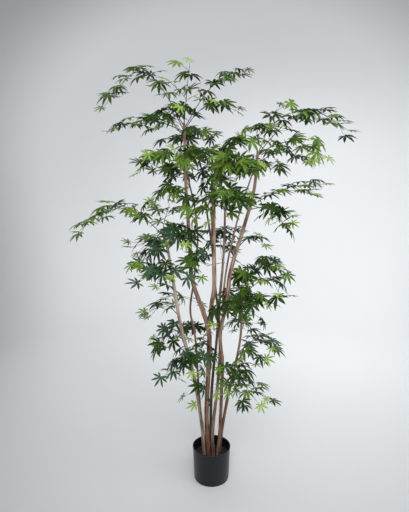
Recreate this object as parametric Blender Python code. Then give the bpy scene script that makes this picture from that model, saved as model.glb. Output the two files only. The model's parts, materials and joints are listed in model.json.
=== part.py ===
"""Potted artificial Japanese maple: natural wood stems set in a filled nursery pot, carrying
leafy sprays of palmate leaves on thin twigs.

Metres, +Z up.  The origin is the centre of the pot's flat underside.  +X is east, the right-hand
side, and +Y is north, the back.  Run it with blender --background --python part.py."""

import math
import random
from typing import NamedTuple

import bmesh
import bpy
from mathutils import Matrix, Vector
from mathutils.bvhtree import BVHTree

# ------------------------------------------------------------------ driving dimensions
GAP = 0.0003                  # clearance between solids that rest on each other
UP = Vector((0, 0, 1))

# Pot
POT_HEIGHT = 0.182
POT_TOP_RADIUS = 0.0985       # outside, over the rim
POT_BASE_RADIUS = 0.0895
POT_WALL = 0.0028
POT_FLOOR = 0.0045
RIM_HEIGHT = 0.005
RIM_OVERHANG = 0.0012
BASE_EDGE = 0.006             # radius of the rounded bottom edge
BASE_EDGE_STEPS = 2
POT_SIDES = 36
FILL_LEVEL = 0.130            # top of the cement that the stems stand in

# Stems and boughs
LIMB_SIDES = 8
RING_PITCH = 0.085            # distance between a limb's rings
BARK_REACH = 0.04             # from a limb's middle line, a place clear outside its bark
# Each bend is (height, east, north, thickness).
STEMS = {
    "trunk_left": [
        (0.13, -0.013, -0.012, 0.026), (0.36, -0.026, -0.010, 0.023), (0.70, -0.013, -0.010, 0.024),
        (0.84, -0.022, -0.010, 0.023), (1.06, -0.095, 0.010, 0.020), (1.25, -0.108, 0.020, 0.018),
        (1.50, -0.124, 0.035, 0.015), (1.81, -0.132, 0.040, 0.012),
    ],
    "trunk_right": [
        (0.13, 0.029, 0.000, 0.019), (0.24, 0.042, 0.000, 0.017), (0.50, 0.050, -0.010, 0.017),
        (0.64, 0.053, -0.010, 0.018), (0.80, 0.041, -0.030, 0.018), (0.97, 0.069, -0.060, 0.020),
        (1.13, 0.089, -0.055, 0.019), (1.34, 0.152, -0.030, 0.017), (1.50, 0.193, -0.030, 0.015),
        (1.68, 0.208, -0.030, 0.013),
    ],
    "stem_pale_left": [
        (0.13, -0.037, -0.028, 0.020), (0.32, -0.049, -0.045, 0.018), (0.59, -0.088, -0.070, 0.017),
        (0.88, -0.152, -0.095, 0.016), (1.20, -0.198, -0.110, 0.013), (1.32, -0.225, -0.110, 0.012),
    ],
    "stem_thin_left": [
        (0.13, -0.032, 0.014, 0.012), (0.42, -0.062, 0.030, 0.011), (0.75, -0.083, 0.042, 0.010),
        (0.90, -0.108, 0.050, 0.010), (1.06, -0.088, 0.075, 0.009), (1.25, -0.071, 0.110, 0.009),
        (1.40, -0.085, 0.130, 0.008), (1.58, -0.124, 0.145, 0.007),
    ],
    "stem_middle": [
        (0.13, 0.009, -0.024, 0.018), (0.28, 0.005, -0.030, 0.017), (0.50, 0.028, -0.010, 0.016),
        (0.69, 0.042, 0.030, 0.015), (0.90, 0.037, 0.060, 0.014), (1.17, 0.059, 0.090, 0.012),
        (1.49, 0.068, 0.120, 0.010),
    ],
    "stem_back": [
        (0.13, -0.005, 0.028, 0.016), (0.41, -0.002, 0.030, 0.015), (0.59, 0.009, 0.020, 0.014),
        (0.75, 0.024, 0.010, 0.013), (0.90, 0.030, 0.015, 0.012), (1.05, 0.014, 0.035, 0.011),
        (1.20, 0.003, 0.050, 0.010), (1.45, -0.034, 0.070, 0.009),
    ],
    "stem_right_low": [
        (0.13, 0.043, 0.030, 0.018), (0.25, 0.055, 0.030, 0.016), (0.40, 0.078, 0.030, 0.015),
        (0.50, 0.098, 0.035, 0.014), (0.75, 0.147, 0.055, 0.012), (0.99, 0.150, 0.070, 0.010),
    ],
}
# A bough springs from the stem named first.
BOUGHS = {
    "bough_centre": ("trunk_left", [
        (0.860, -0.012, -0.026, 0.021), (0.965, -0.001, -0.045, 0.021), (1.07, 0.010, -0.060, 0.020),
        (1.34, 0.004, -0.080, 0.020), (1.506, 0.006, -0.090, 0.019),
    ]),
    "bough_right_back": ("trunk_right", [
        (0.900, 0.055, -0.040, 0.010), (1.00, 0.057, 0.010, 0.010), (1.18, 0.085, 0.060, 0.009),
        (1.40, 0.142, 0.110, 0.008), (1.56, 0.198, 0.150, 0.007),
    ]),
}

# Twigs
TWIG_SIDES = 3
TWIG_RADIUS = (0.0036, 0.0025)         # main twig, foot and tip
TWIG_PITCH = 0.10                      # distance between a main twig's rings
TWIG_SWAY = 0.05                       # of its reach, to either side
TWIG_END_ROOM = 0.050                  # the last leaf, which a spray's reach includes
CLIMB_MOST = 0.4                       # of a twig that leaves the side of a limb
CLIMB_ON_TOP = 4                       # of one that leaves a limb's tip
SIDE_TWIG_RADIUS = (0.0017, 0.0022)    # its foot is thinner, to lie inside the main twig
SIDE_TWIG_SHARE = 0.42                 # of the main twig's length left beyond it
SIDE_TWIG_LEAST = 0.045
SIDE_TWIG_SAG = 0.12                   # of its length
SIDE_TWIG_LIFT = (-20, 10)             # degrees up from the main twig's flank
FORKS = (0.32, 0.82)                   # shares of the main twig between which others fork off
FORK_ANGLE = (38, 62)
SPRAY_ROUND = 0.21                     # how far from its main twig a mass's space goes

# Leaves.  Angles are in degrees.
LEAF_RADIUS = 0.074                    # hub to the tip of the middle lobe
LEAF_THICKNESS = 0.0024                # at the hub
LOBES = ((0, 1.0), (42, 0.95), (84, 0.80), (128, 0.58))    # angle from the midrib, reach
NOTCH = 0.36                           # hub to the bottom of a notch, of the leaf's radius
LEAF_DROOP = 0.16                      # how far the lobe tips hang, of the leaf's radius
STALK_RADIUS = (0.0011, 0.0014)        # at its root inside the twig, and under the leaf
STALK_LENGTH = (0.024, 0.036)
LEAF_PITCH = 0.070                     # between leaves along a twig
BARE_MAIN = 0.12                       # share of a twig without leaves, from its foot
BARE_SIDE = 0.50
ROUND_TWIG = (45, 100)                 # a stalk's place round its twig, from the upper side
OPENING = (40, 65)                     # between the stalk and the twig beyond it
TIP_OPENING = (0, 25)                  # the same for a twig's last leaf
LEAF_TILT = (25, 60)                   # how far the blade hangs below its stalk's line
LEAF_ROLL = (-20, 20)
LEAF_TRIES = 12
MARGIN = 0.0015                        # free space kept round each leaf
CLEAR_OF_TWIG = 0.006                  # a stalk is tested from here on, clear of its own twig

# Clearing up after a union
MERGE = 0.00001                        # points closer than this become one
FLAT = math.radians(0.5)

# A spray is (name, height of its foot, heading, reach, rise, arch, side twigs).  The heading
# is in degrees from east, turning to north; arch is the hump in the middle of its twig.
SPRAYS = {
    "trunk_left": [
        ("crown_high_arch", 1.80, 200, 0.41, 0.08, 0.18, 0),
        ("crown_left_reach", 1.77, 161, 0.43, 0.01, 0.05, 0),
        ("crown_top", 1.82, 305, 0.10, 0.24, 0.02, 1),
        ("crown_right_high", 1.79, 17, 0.35, 0.26, 0.07, 1),
        ("crown_right", 1.78, 337, 0.29, 0.08, 0.06, 2),
        ("crown_head", 1.77, 240, 0.23, 0.02, 0.06, 3),
        ("crown_left", 1.64, 199, 0.27, -0.05, 0.05, 3),
        ("crown_left_low", 1.46, 218, 0.22, 0.00, 0.04, 2),
        ("crown_front", 1.62, 285, 0.25, 0.03, 0.04, 3),
        ("crown_front_left", 1.33, 250, 0.26, -0.05, 0.02, 3),
        ("crown_low_front", 1.15, 291, 0.18, -0.02, 0.04, 2),
        ("crown_back", 1.69, 76, 0.36, 0.10, 0.03, 3),
        ("low_front", 0.72, 260, 0.14, -0.07, 0.04, 2),
        ("low_front_left", 0.53, 240, 0.15, -0.05, 0.05, 2),
    ],
    "bough_centre": [
        ("centre_right", 1.50, 5, 0.15, 0.22, 0.05, 2),
        ("centre_right_front", 1.47, 318, 0.24, 0.14, 0.07, 3),
        ("centre_left_front", 1.48, 258, 0.19, -0.09, 0.04, 3),
        ("centre_front", 1.44, 292, 0.25, 0.02, 0.05, 3),
    ],
    "bough_right_back": [
        ("back_right", 1.50, 45, 0.18, 0.12, 0.05, 3),
    ],
    "stem_middle": [
        ("inner_right", 1.25, 93, 0.21, -0.12, 0.08, 3),
    ],
    "stem_back": [
        ("back_centre", 1.43, 90, 0.27, 0.25, 0.05, 3),
    ],
    "trunk_right": [
        ("right_up", 1.67, 54, 0.23, 0.21, 0.01, 1),
        ("right_arch", 1.67, 351, 0.44, 0.10, 0.125, 1),
        ("right_low", 1.66, 333, 0.36, -0.01, 0.06, 3),
        ("right_back", 1.62, 43, 0.42, 0.01, 0.05, 2),
        ("right_reach", 1.43, 25, 0.46, 0.09, 0.03, 1),
        ("right_droop", 1.41, 323, 0.26, -0.04, 0.03, 3),
        ("right_inner", 1.24, 340, 0.16, 0.02, 0.03, 2),
        ("middle_front", 0.82, 250, 0.13, 0.08, 0.07, 1),
    ],
    "stem_right_low": [
        ("low_right", 0.98, 349, 0.25, 0.14, 0.08, 3),
        ("low_right_out", 0.95, 316, 0.33, 0.08, 0.08, 3),
        ("low_right_front", 0.92, 272, 0.29, 0.03, 0.07, 3),
        ("low_right_left", 1.00, 280, 0.16, 0.08, 0.06, 2),
        ("low_right_reach", 0.67, 15, 0.25, 0.04, 0.04, 2),
        ("low_right_mid", 0.66, 305, 0.18, 0.01, 0.03, 2),
        ("low_right_droop", 0.56, 301, 0.25, -0.06, 0.02, 2),
        ("low_right_inner", 0.61, 275, 0.17, -0.06, 0.05, 2),
        ("low_right_back", 0.78, 80, 0.27, -0.06, 0.04, 3),
    ],
    "stem_pale_left": [
        ("left_arch", 1.30, 172, 0.45, 0.02, 0.12, 0),
        ("left_up", 1.32, 85, 0.24, 0.11, 0.01, 2),
        ("left_out", 1.22, 135, 0.26, -0.01, 0.05, 3),
        ("left_front", 1.22, 196, 0.20, -0.04, 0.03, 3),
        ("left_inner", 1.18, 225, 0.13, -0.09, 0.03, 2),
        ("low_left_reach", 0.92, 155, 0.20, -0.02, 0.05, 2),
        ("low_left_mid", 0.84, 140, 0.15, -0.09, 0.05, 3),
        ("low_left_droop", 0.74, 238, 0.12, -0.11, 0.05, 3),
        ("left_back", 0.98, 95, 0.34, -0.08, 0.04, 3),
    ],
    "stem_thin_left": [
        ("back_left_top", 1.50, 120, 0.28, 0.09, 0.04, 3),
        ("back_left_low", 0.76, 100, 0.27, -0.08, 0.05, 3),
    ],
}

# Colours, as linear RGB, and roughness
BARK_COLOURS = {
    "trunk_left": (0.26, 0.15, 0.11),
    "trunk_right": (0.30, 0.18, 0.13),
    "stem_pale_left": (0.40, 0.33, 0.28),
    "stem_thin_left": (0.22, 0.12, 0.08),
    "stem_middle": (0.24, 0.17, 0.13),
    "stem_back": (0.12, 0.07, 0.05),
    "stem_right_low": (0.26, 0.17, 0.12),
    "bough_centre": (0.28, 0.16, 0.12),
    "bough_right_back": (0.22, 0.15, 0.11),
}
LEAF_GREEN = (0.025, 0.11, 0.02)
POT_BLACK = (0.012, 0.013, 0.016)
CEMENT_GREY = (0.10, 0.095, 0.085)
BARK_ROUGHNESS = 0.8
LEAF_ROUGHNESS = 0.5
POT_ROUGHNESS = 0.55
CEMENT_ROUGHNESS = 0.9


class Shape(NamedTuple):
    """Points and faces of one closed body."""
    points: list
    faces: list

    def tree(self):
        return BVHTree.FromPolygons(self.points, self.faces)


class Limb(NamedTuple):
    """A stem or bough: its middle line, and its bark as a shape to cast rays at."""
    middle: list
    bark: Shape
    tree: BVHTree


# ------------------------------------------------------------------ curves and tubes
def smooth_curve(knots, pitch):
    """Points along a Catmull-Rom curve through the knots, no more than pitch apart.  A knot
    is a tuple of any length, so a thickness is smoothed along with the place."""
    padded = [mirror_knot(knots[0], knots[1]), *knots, mirror_knot(knots[-1], knots[-2])]
    points = [knots[0]]
    for a, b, c, d in zip(padded, padded[1:], padded[2:], padded[3:]):
        steps = max(1, math.ceil((Vector(c[:3]) - Vector(b[:3])).length / pitch))
        for step in range(1, steps + 1):
            t = step / steps
            points.append(tuple(catmull_rom(p, q, r, s, t) for p, q, r, s in zip(a, b, c, d)))
    return points


def mirror_knot(end, inner):
    return tuple(2 * e - i for e, i in zip(end, inner))


def catmull_rom(p, q, r, s, t):
    return 0.5 * (2 * q + (r - p) * t + (2 * p - 5 * q + 4 * r - s) * t ** 2
                  + (3 * q - p - 3 * r + s) * t ** 3)


def directions(points):
    """Unit tangent at each point of a line."""
    ahead = points[1:] + points[-1:]
    behind = points[:1] + points[:-1]
    return [(a - b).normalized() for a, b in zip(ahead, behind)]


def tube(points, radii, sides, foot=None):
    """Closed tube round a line.  Its first ring is slid along the line onto the plane
    foot = (point, normal), where there is one."""
    tangents = directions(points)
    across = tangents[0].orthogonal().normalized()
    if abs(tangents[0].z) > 0.7:
        across = (Vector((1, 0, 0)) - tangents[0] * tangents[0].x).normalized()
    verts = []
    for centre, tangent, radius in zip(points, tangents, radii):
        across = (across - tangent * across.dot(tangent)).normalized()
        other = tangent.cross(across)
        for k in range(sides):
            angle = math.tau * k / sides
            verts.append(centre + (across * math.cos(angle) + other * math.sin(angle)) * radius)
    if foot:
        place, normal = foot
        for k in range(sides):
            slide = (place - verts[k]).dot(normal) / tangents[0].dot(normal)
            verts[k] = verts[k] + tangents[0] * slide
    faces = [tuple(range(sides))[::-1]]
    for ring in range(len(points) - 1):
        for k in range(sides):
            low, low_next = ring * sides + k, ring * sides + (k + 1) % sides
            faces.append((low, low_next, low_next + sides, low + sides))
    last = (len(points) - 1) * sides
    faces.append(tuple(range(last, last + sides)))
    return Shape(verts, faces)


def taper(first, last, count):
    return [first + (last - first) * k / (count - 1) for k in range(count)]


# ------------------------------------------------------------------ stems and boughs
def grow_limb(bends, foot):
    """Limb through its bends, cut at the foot plane."""
    knots = [(east, north, height, thickness) for height, east, north, thickness in bends]
    line = smooth_curve(knots, RING_PITCH)
    middle = [Vector(p[:3]) for p in line]
    bark = tube(middle, [p[3] / 2 for p in line], LIMB_SIDES, foot)
    return Limb(middle, bark, bark.tree())


def point_at_height(limb, height):
    """The point of a limb's middle line at a height, or its tip."""
    for low, high in zip(limb.middle, limb.middle[1:]):
        if low.z <= height <= high.z:
            return low.lerp(high, (height - low.z) / (high.z - low.z))
    return limb.middle[-1].copy()


def seat_on(limb, height, outward):
    """Plane that touches a limb's bark where the outward direction leaves it, one gap clear:
    its point and its normal."""
    start = point_at_height(limb, height)
    far = start + outward * BARK_REACH
    hit, normal, _, _ = limb.tree.ray_cast(far, -outward)
    return hit + normal * GAP, normal


def grow_boughs(limbs):
    for name, (stem, bends) in BOUGHS.items():
        height, east, north, _ = bends[0]
        start = point_at_height(limbs[stem], height)
        outward = (Vector((east, north, height)) - start).normalized()
        place, normal = seat_on(limbs[stem], height, outward)
        limbs[name] = grow_limb(bends, (place, normal))


# ------------------------------------------------------------------ leaves and twigs
def leaf_outline():
    """Lobe tips and notches round the hub, as (angle in degrees, share of the leaf's radius)."""
    lobes = sorted({(sign * angle, reach) for angle, reach in LOBES for sign in (-1, 1)})
    outline = []
    for (angle, reach), (following, _) in zip(lobes, lobes[1:] + [(lobes[0][0] + 360, 0)]):
        outline += [(angle, reach), ((angle + following) / 2, NOTCH)]
    return outline


def leaf_with_stalk(root, hub, frame, margin=0.0):
    """Closed leaf: a thin star round its hub, on a three-sided stalk that starts at the root.
    The frame's columns are the midrib's direction, the leaf's side and its upper face."""
    half = LEAF_THICKNESS / 2 + margin
    points = []
    for angle, share in leaf_outline():
        reach = LEAF_RADIUS * share + margin
        turn = math.radians(angle)
        hang = -LEAF_DROOP * LEAF_RADIUS * share ** 2
        points.append(hub + frame @ Vector((reach * math.cos(turn), reach * math.sin(turn), hang)))
    rim = len(points)
    top, collar, foot = rim, rim + 1, rim + 4
    points.append(hub + frame @ Vector((0, 0, half)))
    turns = [math.radians(angle) for angle in (-60, 60, 180)]
    corners = [Vector((math.cos(turn), math.sin(turn), 0)) for turn in turns]
    under = hub - frame @ Vector((0, 0, half))
    points += [under + frame @ corner * (STALK_RADIUS[1] + margin) for corner in corners]
    points += [root + frame @ corner * (STALK_RADIUS[0] + margin) for corner in corners]
    faces = [(k, (k + 1) % rim, top) for k in range(rim)]
    nearest = [round((angle + 60) / 120) % 3 for angle, _ in leaf_outline()]
    for k in range(rim):
        ahead = (k + 1) % rim
        faces.append((ahead, k, collar + nearest[k]))
        if nearest[ahead] != nearest[k]:
            faces.append((ahead, collar + nearest[k], collar + nearest[ahead]))
    for k in range(3):
        ahead = (k + 1) % 3
        faces.append((foot + k, foot + ahead, collar + ahead, collar + k))
    faces.append((foot + 2, foot + 1, foot))
    return Shape(points, faces)


def across_twig(tangent, heading):
    """Two directions square to a twig: its upper side and its flank."""
    upper = UP if abs(tangent.z) < 0.95 else -heading
    upper = (upper - tangent * upper.dot(tangent)).normalized()
    return upper, tangent.cross(upper)


def leaf_frame(stalk, tilt, roll):
    """Frame of a blade that hangs from its stalk: tilted down beyond it, then rolled."""
    side = UP.cross(stalk).normalized()
    midrib = Matrix.Rotation(tilt, 3, side) @ stalk
    side = Matrix.Rotation(roll, 3, midrib) @ side
    return Matrix((midrib, side, midrib.cross(side))).transposed()


def twig_line(foot, heading, flank, reach, rise, arch, sway):
    """Points along a twig that arches out over its reach."""
    length = math.hypot(reach, rise) + 2 * arch
    steps = max(3, round(length / TWIG_PITCH))
    line = []
    for step in range(steps + 1):
        t = step / steps
        lift = rise * t + arch * math.sin(math.pi * t)
        swing = sway * reach * math.sin(math.tau * t)
        line.append(foot + heading * (reach * t) + UP * lift + flank * swing)
    return line


def place_along(line, share):
    """Point and direction at a share of a line's steps."""
    spot = min(share, 0.9999) * (len(line) - 1)
    first = int(spot)
    return line[first].lerp(line[first + 1], spot - first), (line[first + 1] - line[first]).normalized()


def line_length(line):
    return sum((b - a).length for a, b in zip(line, line[1:]))


def side_twig_line(line, share, sign, heading, draw):
    """Points of a twig that forks off another at a share of its length."""
    root, tangent = place_along(line, share)
    upper, flank = across_twig(tangent, heading)
    fork = math.radians(draw.uniform(*FORK_ANGLE))
    lift = math.radians(draw.uniform(*SIDE_TWIG_LIFT))
    aside = flank * (sign * math.cos(lift)) + upper * math.sin(lift)
    out = tangent * math.cos(fork) + aside * math.sin(fork)
    length = line_length(line) * (1 - share) * SIDE_TWIG_SHARE + SIDE_TWIG_LEAST
    middle = root + out * (length * 0.5)
    end = root + out * length - UP * (length * SIDE_TWIG_SAG)
    return [root, middle, end]


def leaf_stations(line, bare_share):
    """Shares of a twig's length where leaves stand: its tip, and back from there."""
    pitch = LEAF_PITCH / line_length(line)
    stations = [1.0]
    while stations[-1] - pitch > bare_share:
        stations.append(stations[-1] - pitch)
    return stations


def grow_leaf(line, share, sign, heading, draw, free):
    """A leaf on a twig, as a shape, or None where no drawn place is free."""
    spot, tangent = place_along(line, share)
    upper, flank = across_twig(tangent, heading)
    for _ in range(LEAF_TRIES):
        round_twig = math.radians(draw.uniform(*ROUND_TWIG)) * sign
        opening = math.radians(draw.uniform(*(OPENING if share < 1 else TIP_OPENING)))
        radial = upper * math.cos(round_twig) + flank * math.sin(round_twig)
        stalk = tangent * math.cos(opening) + radial * math.sin(opening)
        hub = spot + stalk * draw.uniform(*STALK_LENGTH)
        tilt = math.radians(draw.uniform(*LEAF_TILT))
        frame = leaf_frame(stalk, tilt, math.radians(draw.uniform(*LEAF_ROLL)))
        if free(leaf_with_stalk(spot + stalk * CLEAR_OF_TWIG, hub, frame, MARGIN)):
            return leaf_with_stalk(spot, hub, frame)
    return None


def meets(shape, trees):
    probe = shape.tree()
    return any(probe.overlap(tree) for tree in trees)


def leaves_space(shape, main):
    """Whether a point of the shape lies outside the space round a mass's main twig."""
    return any(main.find_nearest(point)[3] > SPRAY_ROUND for point in shape.points)


def start_spray(row, limb):
    """A mass's main twig, seated on its limb: its heading, its line and its shape."""
    name, height, turn, reach, rise, arch, _ = row
    turn = math.radians(turn)
    heading = Vector((math.cos(turn), math.sin(turn), 0))
    flank = UP.cross(heading)
    climb = min((rise + 5 * arch) / reach, CLIMB_MOST)
    if height > limb.middle[-1].z:
        climb = CLIMB_ON_TOP
    place, normal = seat_on(limb, height, (heading + UP * climb).normalized())
    twig_reach = max(reach - TWIG_END_ROOM, reach / 2)
    sway = random.Random(name).uniform(-TWIG_SWAY, TWIG_SWAY)
    line = twig_line(place, heading, flank, twig_reach, rise, arch, sway)
    return heading, line, tube(line, taper(*TWIG_RADIUS, len(line)), TWIG_SIDES, (place, normal))


def fill_spray(row, start, others):
    """The side twigs and leaves of a mass, each within its space and clear of the limbs, the
    other masses and what the mass already has."""
    name, side_count = row[0], row[-1]
    heading, line, main = start
    draw = random.Random(name + " leaves")
    own = [main.tree()]
    pieces = []

    def free(shape):
        return not meets(shape, others + own) and not leaves_space(shape, own[0])

    twigs = [(line, BARE_MAIN)]
    for k in range(side_count):
        share = FORKS[0] + (FORKS[1] - FORKS[0]) * (k + draw.uniform(0, 0.5)) / side_count
        sign = 1 if (k + len(name)) % 2 else -1
        side_line = side_twig_line(line, share, sign, heading, draw)
        shape = tube(side_line, taper(*SIDE_TWIG_RADIUS, len(side_line)), TWIG_SIDES)
        if not meets(shape, others) and not leaves_space(shape, own[0]):
            pieces.append(shape)
            twigs.append((side_line, BARE_SIDE))
    own += [piece.tree() for piece in pieces]
    for twig, bare in twigs:
        for k, share in enumerate(leaf_stations(twig, bare)):
            leaf = grow_leaf(twig, share, 1 if k % 2 else -1, heading, draw, free)
            if leaf:
                pieces.append(leaf)
                own.append(leaf.tree())
    return pieces


# ------------------------------------------------------------------ objects
def make_object(name, shape):
    mesh = bpy.data.meshes.new(name)
    mesh.from_pydata(shape.points, [], shape.faces)
    mesh.validate()
    return bpy.data.objects.new(name, mesh)


def make_material(name, colour, roughness):
    material = bpy.data.materials.new(name)
    material.use_nodes = True
    shader = material.node_tree.nodes["Principled BSDF"]
    shader.inputs["Base Color"].default_value = (*colour, 1)
    shader.inputs["Roughness"].default_value = roughness
    return material


def add_node(name, shape, material):
    node = make_object(name, shape)
    node.data.materials.append(material)
    bpy.context.collection.objects.link(node)
    return node


def turned(profile, sides):
    """Closed shape from a profile of (radius, height) turned once round Z; the profile starts
    and ends on the axis."""
    points = [Vector((0, 0, profile[0][1])), Vector((0, 0, profile[-1][1]))]
    rings = profile[1:-1]
    for radius, height in rings:
        for k in range(sides):
            turn = math.tau * k / sides
            points.append(Vector((radius * math.cos(turn), radius * math.sin(turn), height)))
    faces = []
    for k in range(sides):
        ahead = (k + 1) % sides
        faces.append((0, 2 + ahead, 2 + k))
        for ring in range(len(rings) - 1):
            low, high = 2 + ring * sides, 2 + (ring + 1) * sides
            faces.append((low + k, low + ahead, high + ahead, high + k))
        last = 2 + (len(rings) - 1) * sides
        faces.append((1, last + k, last + ahead))
    return Shape(points, faces)


def wall_radius(height):
    """Outer radius of the pot's wall at a height."""
    return POT_BASE_RADIUS + (POT_TOP_RADIUS - RIM_OVERHANG - POT_BASE_RADIUS) * height / POT_HEIGHT


def pot_profile():
    """Outside from the underside up, over the rim and down the inside."""
    rim_foot = POT_HEIGHT - RIM_HEIGHT
    profile = [(0, 0)]
    for step in range(BASE_EDGE_STEPS + 1):
        turn = math.pi / 2 * step / BASE_EDGE_STEPS
        height = BASE_EDGE * (1 - math.cos(turn))
        profile.append((wall_radius(height) - BASE_EDGE * (1 - math.sin(turn)), height))
    profile += [
        (wall_radius(rim_foot), rim_foot),
        (POT_TOP_RADIUS, rim_foot),
        (POT_TOP_RADIUS, POT_HEIGHT),
        (wall_radius(POT_HEIGHT) - POT_WALL, POT_HEIGHT),
        (wall_radius(POT_FLOOR) - POT_WALL, POT_FLOOR),
        (0, POT_FLOOR),
    ]
    return profile


def fill_profile():
    inset = POT_WALL + GAP
    low = POT_FLOOR + GAP
    return [
        (0, low),
        (wall_radius(low) - inset, low),
        (wall_radius(FILL_LEVEL) - inset, FILL_LEVEL),
        (0, FILL_LEVEL),
    ]


def islands(body):
    """The faces of a mesh in groups that hang together by their edges, smallest group first."""
    unseen = set(body.faces)
    groups = []
    while unseen:
        border = [unseen.pop()]
        group = list(border)
        while border:
            beside = {near for face in border for edge in face.edges for near in edge.link_faces}
            border = list(beside & unseen)
            unseen -= beside
            group += border
        groups.append(group)
    return sorted(groups, key=len)


def is_one_body(body):
    return len(islands(body)) == 1 and all(len(edge.link_faces) == 2 for edge in body.edges)


def simplified(union, merge, flat, quads, ngons):
    """A triangulated copy, with its points merged and its flat stretches joined first."""
    body = union.copy()
    if merge:
        bmesh.ops.remove_doubles(body, verts=body.verts, dist=merge)
    if flat:
        bmesh.ops.dissolve_limit(body, angle_limit=flat, verts=body.verts, edges=body.edges)
    bmesh.ops.triangulate(body, faces=body.faces, quad_method=quads, ngon_method=ngons)
    return body


def drop_scraps(body):
    """Keeps only the largest of the bodies in a mesh."""
    scraps = [face for group in islands(body)[:-1] for face in group]
    bmesh.ops.delete(body, geom=scraps, context="FACES")


def clean(mesh):
    """Makes a union's mesh one triangulated body, as simple as stays closed.  Says whether
    one did."""
    union = bmesh.new()
    union.from_mesh(mesh)
    drop_scraps(union)
    for merge, flat in ((MERGE, FLAT), (MERGE / 100, FLAT), (MERGE, 0), (0, 0)):
        for quads, ngons in (("BEAUTY", "BEAUTY"), ("FIXED", "EAR_CLIP")):
            body = simplified(union, merge, flat, quads, ngons)
            if is_one_body(body):
                body.to_mesh(mesh)
                return True
    return False


def unite(node, pieces, solver):
    """The mesh of a node's object united with the pieces."""
    parts = bpy.data.collections.new(node.name + "_parts")
    bpy.context.scene.collection.children.link(parts)
    for k, piece in enumerate(pieces):
        parts.objects.link(make_object(f"{node.name}_part_{k}", piece))
    union = node.modifiers.new("union", "BOOLEAN")
    union.operation = "UNION"
    union.operand_type = "COLLECTION"
    union.collection = parts
    union.solver = solver
    evaluated = node.evaluated_get(bpy.context.evaluated_depsgraph_get())
    mesh = bpy.data.meshes.new_from_object(evaluated)
    node.modifiers.remove(union)
    for part in list(parts.objects):
        bpy.data.objects.remove(part)
    bpy.data.collections.remove(parts)
    return mesh


def fuse(name, main, pieces, material):
    """One solid: the main twig united with its side twigs and leaves.  Where neither solver
    gives one closed body, it goes without its last leaf."""
    node = add_node(name, main, material)
    pieces = list(pieces)
    while True:
        for solver in ("EXACT", "MANIFOLD"):
            mesh = unite(node, pieces, solver)
            if clean(mesh):
                node.data = mesh
                return
        pieces.pop()


def clear_scene():
    for item in list(bpy.data.objects):
        bpy.data.objects.remove(item)


def build():
    clear_scene()
    plastic = make_material("pot_plastic", POT_BLACK, POT_ROUGHNESS)
    add_node("pot", turned(pot_profile(), POT_SIDES), plastic)
    cement = make_material("cement", CEMENT_GREY, CEMENT_ROUGHNESS)
    add_node("pot_fill", turned(fill_profile(), POT_SIDES), cement)

    ground = (Vector((0, 0, FILL_LEVEL + GAP)), UP)
    limbs = {name: grow_limb(bends, ground) for name, bends in STEMS.items()}
    grow_boughs(limbs)
    for name, limb in limbs.items():
        bark = make_material("bark_" + name, BARK_COLOURS[name], BARK_ROUGHNESS)
        add_node(name, limb.bark, bark)

    rows = [(row, limbs[name]) for name, sprays in SPRAYS.items() for row in sprays]
    starts = [start_spray(row, limb) for row, limb in rows]
    bark_trees = [limb.tree for limb in limbs.values()]
    main_trees = [main.tree() for _, _, main in starts]
    grown_trees = []
    leaf_green = make_material("leaf_green", LEAF_GREEN, LEAF_ROUGHNESS)
    for k, (row, _) in enumerate(rows):
        others = bark_trees + main_trees[:k] + main_trees[k + 1:] + grown_trees
        pieces = fill_spray(row, starts[k], others)
        grown_trees += [piece.tree() for piece in pieces]
        fuse("foliage_" + row[0], starts[k][2], pieces, leaf_green)


build()
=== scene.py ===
# %% [markdown]
# # A potted artificial Japanese maple
#
# The object is a tall indoor tree: seven natural wood stems stand in a black nursery pot, fixed
# there with cement, and cloth leaves on wired twigs are pushed into the stems.  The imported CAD
# model gives every solid its place.  This notebook dresses it: the pot gets its moulded rim, the
# stems get bark with real relief, and each foliage solid gives way to fine twigs and leaves that
# grow by the same rule.

# %% Load the frame
import json
import math
import random
from collections import namedtuple

import bpy
from mathutils import Matrix, Vector
from mathutils.bvhtree import BVHTree

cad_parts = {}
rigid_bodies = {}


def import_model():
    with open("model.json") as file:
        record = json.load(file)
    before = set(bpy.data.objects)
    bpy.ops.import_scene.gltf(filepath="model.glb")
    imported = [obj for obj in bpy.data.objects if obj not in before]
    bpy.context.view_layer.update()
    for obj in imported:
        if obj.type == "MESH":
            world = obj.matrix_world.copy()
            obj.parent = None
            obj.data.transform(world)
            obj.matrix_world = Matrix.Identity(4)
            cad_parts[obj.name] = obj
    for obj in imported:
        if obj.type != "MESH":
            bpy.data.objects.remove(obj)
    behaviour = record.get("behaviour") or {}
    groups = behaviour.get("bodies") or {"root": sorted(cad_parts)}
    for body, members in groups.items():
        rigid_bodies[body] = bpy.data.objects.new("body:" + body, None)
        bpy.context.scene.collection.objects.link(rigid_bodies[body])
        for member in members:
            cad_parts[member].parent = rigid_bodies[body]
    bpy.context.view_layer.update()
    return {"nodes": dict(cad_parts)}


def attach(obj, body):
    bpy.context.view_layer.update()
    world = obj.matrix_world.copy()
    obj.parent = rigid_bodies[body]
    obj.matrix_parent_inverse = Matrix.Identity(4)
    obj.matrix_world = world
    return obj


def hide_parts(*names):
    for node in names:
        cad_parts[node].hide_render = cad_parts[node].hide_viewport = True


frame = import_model()
print("CAD nodes:", len(frame["nodes"]))

# %% [markdown]
# ## Camera
#
# A tree is best seen from a little above its middle, far enough off that the pot and the top
# both fit.  The camera stands at eye height and looks down about ten degrees.  A lens is easier
# to reason about in pixels: a thing of one metre, one metre away, is FOCAL_PIXELS tall.

# %% Camera
PICTURE_HEIGHT = 512          # pixels
FOCAL_PIXELS = 477
SENSOR = 36                   # mm, along the picture's longer side
EYE = Vector((-0.0365, -2.263, 1.614))
LOOK_DOWN = 10.72             # degrees

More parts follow.
